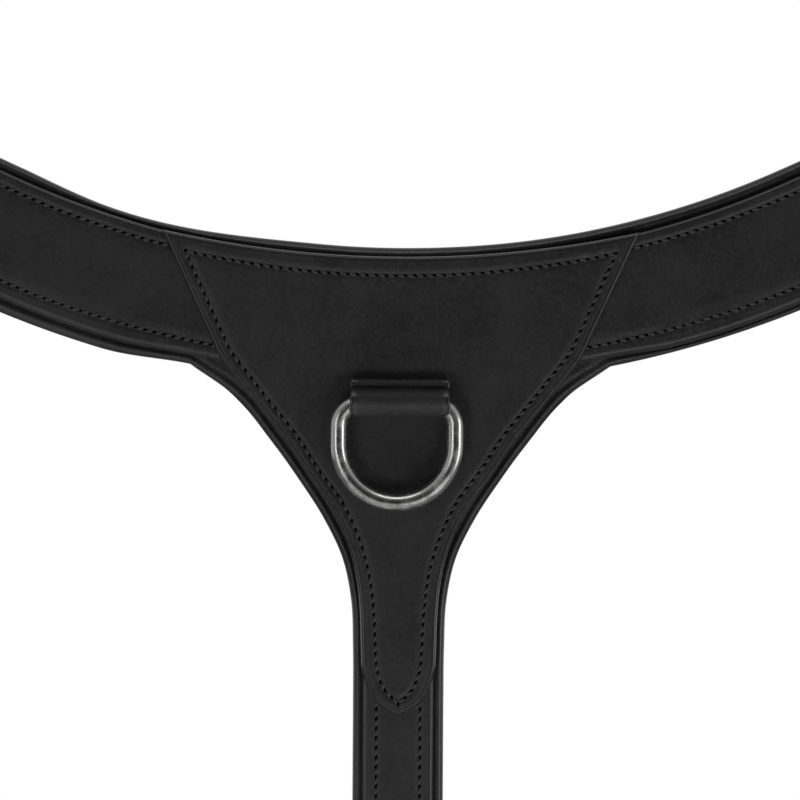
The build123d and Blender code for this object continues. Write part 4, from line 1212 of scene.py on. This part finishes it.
def tug(word, pitch):
    """Everything from one shoulder ring to the snap hook: ring, chapes, elastic, buckle, keepers and billet."""
    m = word == "left"
    v, q, _ = tube(TUG.point(RING_R * np.cos(np.arange(96) / 96 * 2 * np.pi),
                             RING_R * np.sin(np.arange(96) / 96 * 2 * np.pi), np.zeros(96)), WIRE_R, 32)
    o = put("shoulder_ring_wire_" + word, v, q, "ring_" + word, MAT["steel"], mirror=m)
    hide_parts("shoulder_ring_" + word)
    body = "tug_" + word
    seams = ring_cuff("ring_chape_leather_" + word, -1, 72.25, TUG, "yoke", "ring_chape_" + word, m, False)
    sew("ring_chape_" + word, seams, "yoke", pitch)
    seams = ring_cuff("elastic_chape_leather_" + word, 1, 68.25, TUG, body, "elastic_chape_" + word, m, True)
    run = Run(TUG, [(50.45, 0), (80, 0), (120, 0), (168.6, 0)], 0.6)
    o, _ = strap("elastic_web_" + word, run, 11.0, 2.0, body, MAT["web"], mirror=m,
                     edge=0.5, step=1.2)
    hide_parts("elastic_" + word)
    seams += buckle_chape("saddle_chape_leather_" + word, SADDLE_BUCKLE, 60.0, True, body, "saddle_chape_" + word, m)
    x, n = HOOK_S - BUCKLE_S, HOOK_N
    fold = [(x + 3.22 * math.cos(a), n + 3.22 * math.sin(a)) for a in np.radians(np.linspace(100, -100, 17))]
    path = OVER_BUCKLE + [(40, -0.7), (60, -0.7), (80, -0.7), (89, -0.5), (95, 0.5)] + fold
    path += [(95, -4.3), (89, -3.2), (80, -3.05), (62, -3.05)]
    seams += buckled_strap("saddle_billet_leather_" + word, SADDLE_BUCKLE, path, body, "saddle_billet_" + word,
                           lambda r: [[(r.where(y0), -6.8), (r.where(y1), -6.8), (r.where(y1), 6.8),
                                       (r.where(y0), 6.8), (r.where(y0), -6.8)] for y0, y1 in ((66.0, 86.0),)], m)
    sew("tug_" + word, seams, body, pitch)
    buckle_metal("saddle_buckle_" + word, SADDLE_BUCKLE,
                 (body, "saddle_" + word + "_roller", "saddle_" + word + "_tongue"),
                 ("saddle_buckle_" + word, "saddle_roller_" + word, "saddle_tongue_" + word), m)
    loop_keeper("saddle_fixed_loop_" + word, SADDLE_BUCKLE, -24.0, -16.0, body, "saddle_fixed_keeper_" + word, m)
    loop_keeper("saddle_running_loop_" + word, SADDLE_BUCKLE, -40.0, -32.0, "saddle_" + word + "_keeper",
                "saddle_running_keeper_" + word, m)


def girth(pitch):
    """The buckled loop under the belly: chape, buckle, keepers and the strap that turns round the girth."""
    seams = buckle_chape("girth_chape_leather", GIRTH_BUCKLE, 90.0, False, "yoke", "girth_chape")
    mid, r = (14.0 - 6.2) / 2, 10.1
    turn = [(130.0 + r * math.sin(a), mid + r * math.cos(a)) for a in np.radians(np.linspace(4, 176, 15))]
    path = OVER_BUCKLE + [(32, -0.2), (44, 2.6), (58, 7.4), (70, 11.2), (82, 13.4), (96, 14), (114, 14)] + turn
    path += [(110, -6.2), (60, -6.2), (0, -6.2), (-50, -6.2), (-86, -6.2)]
    seams += buckled_strap("girth_loop_leather", GIRTH_BUCKLE, path, "yoke", "girth_loop",
                           lambda r_: [[(r_.length - 3.0, y), (r_.length - 82.0, y)] for y in (-6.8, 6.8)])
    sew("girth", seams, "yoke", pitch)
    buckle_metal("girth_buckle", GIRTH_BUCKLE, ("yoke", "girth_roller", "girth_tongue"),
                 ("girth_buckle", "girth_roller", "girth_tongue"), False)
    loop_keeper("girth_fixed_loop", GIRTH_BUCKLE, -24.0, -16.0, "yoke", "girth_fixed_keeper", False)
    loop_keeper("girth_running_loop", GIRTH_BUCKLE, -40.0, -32.0, "girth_keeper", "girth_running_keeper", False)


# ---- stage ----
LAMPS = (("key_left", (-0.78, -1.70, -1.15), (0.60, 0.60), 8.6),
         ("key_right", (0.95, -1.60, -1.15), (0.60, 0.60), 9.2),
         ("strip_left", (-0.82, -1.15, -0.03), (0.36, 0.8), 1.0),
         ("strip_right", (1.25, -0.62, -0.05), (0.40, 0.8), 2.0),
         ("strip_low", (-0.30, -0.55, -1.15), (1.1, 0.40), 8.0),
         ("box_top", (0.0, -0.7, 1.3), (1.2, 0.4), 1.6))


def area_light(name, at, size, power):
    """A soft box at a place in metres, turned to the dee."""
    d = bpy.data.lights.new(name, "AREA")
    d.shape, d.size, d.size_y, d.energy = "RECTANGLE", size[0], size[1], power
    o = bpy.data.objects.new(name, d)
    bpy.context.scene.collection.objects.link(o)
    o.location = at
    o.rotation_mode = "QUATERNION"
    o.rotation_quaternion = (-mathutils.Vector(at)).to_track_quat("-Z", "Y")
    o.visible_camera = False


def stage(light, floor_tone):
    """Pale floor, white surroundings for the camera, a dimmer room for reflections, soft boxes and the camera."""
    half, below = 2.0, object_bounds()[0][2] - 0.002
    v = [(-half, -half, below), (half, -half, below), (half, half, below), (-half, half, below)]
    m = plain_material("floor_paint", (floor_tone,) * 3, 0.8, bump=0.0)
    glow = node(m.node_tree, "ShaderNodeLightPath").outputs["Is Camera Ray"]
    shader = m.node_tree.nodes["Principled BSDF"]
    link(m.node_tree, colour_between(m.node_tree, glow, (0, 0, 0), (0.55, 0.55, 0.55)),
         shader.inputs["Emission Color"])
    shader.inputs["Emission Strength"].default_value = 1.0
    me = bpy.data.meshes.new("floor")
    me.from_pydata(v, [], [(0, 1, 2, 3)])
    me.materials.append(m)
    floor = bpy.data.objects.new("floor", me)
    bpy.context.scene.collection.objects.link(floor)
    floor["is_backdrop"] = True
    floor.visible_shadow = False
    world = bpy.data.worlds.new("room")
    bpy.context.scene.world = world
    world.use_nodes = True
    t = world.node_tree
    back = t.nodes["Background"]
    back.inputs["Color"].default_value = (1, 1, 1, 1)
    parts = node(t, "ShaderNodeSeparateXYZ")
    link(t, node(t, "ShaderNodeTexCoord").outputs["Generated"], parts.inputs[0])
    depth = parts.outputs["Y"]
    front = span(t, depth, -0.97, -0.3, 0.018 * light, 0.30 * light)
    room = maths(t, "ADD", front, span(t, depth, 0.2, 0.95, 0.0, 0.22 * light))
    path = node(t, "ShaderNodeLightPath")
    link(t, maths(t, "MULTIPLY", room, span(t, path.outputs["Is Diffuse Ray"], 0.0, 1.0, 1.0, 0.12)),
         back.inputs["Strength"])
    seen = node(t, "ShaderNodeBackground", inputs={"Strength": 1.0, "Color": (1, 1, 1, 1)})
    mix = node(t, "ShaderNodeMixShader")
    link(t, path.outputs["Is Camera Ray"], mix.inputs[0])
    link(t, back.outputs[0], mix.inputs[1])
    link(t, seen.outputs[0], mix.inputs[2])
    link(t, mix.outputs[0], t.nodes["World Output"].inputs["Surface"])
    for name, at, size, power in LAMPS:
        area_light(name, at, size, power * light)
    cam = bpy.data.objects.new("camera", bpy.data.cameras.new("camera"))
    bpy.context.scene.collection.objects.link(cam)
    cam.data.lens, cam.data.sensor_width = 135.0, 36.0
    cam.data.clip_start, cam.data.clip_end = 0.05, 50.0
    cam.location = (0.0, -0.8165, 0.0011)
    cam.rotation_euler = (math.radians(90), math.radians(-0.35), 0)
    bpy.context.scene.camera = cam
    bpy.context.scene.view_settings.view_transform = "Standard"


# ---- add-on ----
class TACK_PG_looks(bpy.types.PropertyGroup):
    stitch: bpy.props.FloatProperty(name="Stitch length", description="Distance from one stitch hole to the next",
                                    default=0.0026, min=0.0015, max=0.006, precision=4, subtype="DISTANCE",
                                    unit="LENGTH")
    dye: bpy.props.FloatProperty(name="Dye", description="How light the black dye is", default=1.0, min=0.2,
                                 max=5.0, subtype="FACTOR")
    thread: bpy.props.FloatVectorProperty(name="Thread", description="Colour of the waxed thread",
                                          default=(0.034, 0.034, 0.0345), min=0.0, max=1.0, subtype="COLOR")
    steel: bpy.props.FloatVectorProperty(name="Steel", description="Colour of the polished fittings",
                                         default=(0.84, 0.84, 0.83), min=0.0, max=1.0, subtype="COLOR")
    light: bpy.props.FloatProperty(name="Light", description="Strength of the studio light", default=1.0, min=0.0,
                                   max=10.0, subtype="FACTOR")
    floor: bpy.props.FloatProperty(name="Floor", description="How light the floor is", default=0.8, min=0.0,
                                   max=1.0, subtype="FACTOR")


def pitch(looks):
    """Stitch length in millimetres."""
    return round(looks.stitch / MM, 4)


class TACK_OT_materials(bpy.types.Operator):
    """Makes the leather, thread, webbing and steel finishes"""
    bl_idname = "tack.materials"
    bl_label = "Materials"

    def execute(self, context):
        looks = context.scene.tack_looks
        make_materials(looks.dye, looks.thread, looks.steel)
        return {"FINISHED"}


class TACK_OT_padded_lining(bpy.types.Operator):
    """Builds the padded lining of chest and belly"""
    bl_idname = "tack.padded_lining"
    bl_label = "Padded lining"

    def execute(self, context):
        padded_lining()
        return {"FINISHED"}


class TACK_OT_chest_straps(bpy.types.Operator):
    """Builds the two stitched face straps"""
    bl_idname = "tack.chest_straps"
    bl_label = "Chest straps"

    def execute(self, context):
        looks = context.scene.tack_looks
        chest_straps(pitch(looks))
        return {"FINISHED"}


class TACK_OT_stiffener(bpy.types.Operator):
    """Builds the leather filler under the shield"""
    bl_idname = "tack.stiffener"
    bl_label = "Stiffener"

    def execute(self, context):
        stiffener()
        return {"FINISHED"}


class TACK_OT_shield(bpy.types.Operator):
    """Builds the stitched breast shield"""
    bl_idname = "tack.shield"
    bl_label = "Breast shield"

    def execute(self, context):
        looks = context.scene.tack_looks
        shield(pitch(looks))
        return {"FINISHED"}


class TACK_OT_belly_strap(bpy.types.Operator):
    """Builds the stitched belly strap"""
    bl_idname = "tack.belly_strap"
    bl_label = "Belly strap"

    def execute(self, context):
        looks = context.scene.tack_looks
        belly_strap(pitch(looks))
        return {"FINISHED"}


class TACK_OT_dee(bpy.types.Operator):
    """Builds the dee"""
    bl_idname = "tack.dee"
    bl_label = "Dee"

    def execute(self, context):
        dee()
        return {"FINISHED"}


class TACK_OT_dee_keeper(bpy.types.Operator):
    """Builds the leather fold that holds the dee"""
    bl_idname = "tack.dee_keeper"
    bl_label = "Dee keeper"

    def execute(self, context):
        keeper()
        return {"FINISHED"}


class TACK_OT_tugs(bpy.types.Operator):
    """Builds rings, chapes, elastics, buckles and billets of both sides"""
    bl_idname = "tack.tugs"
    bl_label = "Saddle straps"

    def execute(self, context):
        looks = context.scene.tack_looks
        for word in ("right", "left"):
            tug(word, pitch(looks))
        return {"FINISHED"}


class TACK_OT_girth(bpy.types.Operator):
    """Builds the buckled girth loop"""
    bl_idname = "tack.girth"
    bl_label = "Girth loop"

    def execute(self, context):
        looks = context.scene.tack_looks
        girth(pitch(looks))
        return {"FINISHED"}


class TACK_OT_stage(bpy.types.Operator):
    """Lays the floor and sets the light and the camera"""
    bl_idname = "tack.stage"
    bl_label = "Stage"

    def execute(self, context):
        looks = context.scene.tack_looks
        stage(looks.light, looks.floor)
        return {"FINISHED"}


STEPS = (TACK_OT_materials, TACK_OT_padded_lining, TACK_OT_chest_straps, TACK_OT_stiffener, TACK_OT_shield,
         TACK_OT_belly_strap, TACK_OT_dee, TACK_OT_dee_keeper, TACK_OT_tugs, TACK_OT_girth, TACK_OT_stage)


class TACK_PT_panel(bpy.types.Panel):
    """Lists the looks and the steps in the order in which they are run"""
    bl_label = "Martingale"
    bl_idname = "TACK_PT_panel"
    bl_space_type = "VIEW_3D"
    bl_region_type = "UI"
    bl_category = "Tack"

    def draw(self, context):
        for key in ("stitch", "dye", "thread", "steel", "light", "floor"):
            self.layout.prop(context.scene.tack_looks, key)
        for step in STEPS:
            self.layout.operator(step.bl_idname)


def register():
    for c in (TACK_PG_looks, *STEPS, TACK_PT_panel):
        bpy.utils.register_class(c)
    bpy.types.Scene.tack_looks = bpy.props.PointerProperty(type=TACK_PG_looks)


def unregister():
    del bpy.types.Scene.tack_looks
    for c in reversed((TACK_PG_looks, *STEPS, TACK_PT_panel)):
        bpy.utils.unregister_class(c)


def main():
    register()
    for step in STEPS:
        area, what = step.bl_idname.split(".")
        getattr(getattr(bpy.ops, area), what)()


if __name__ == "__main__":
    main()
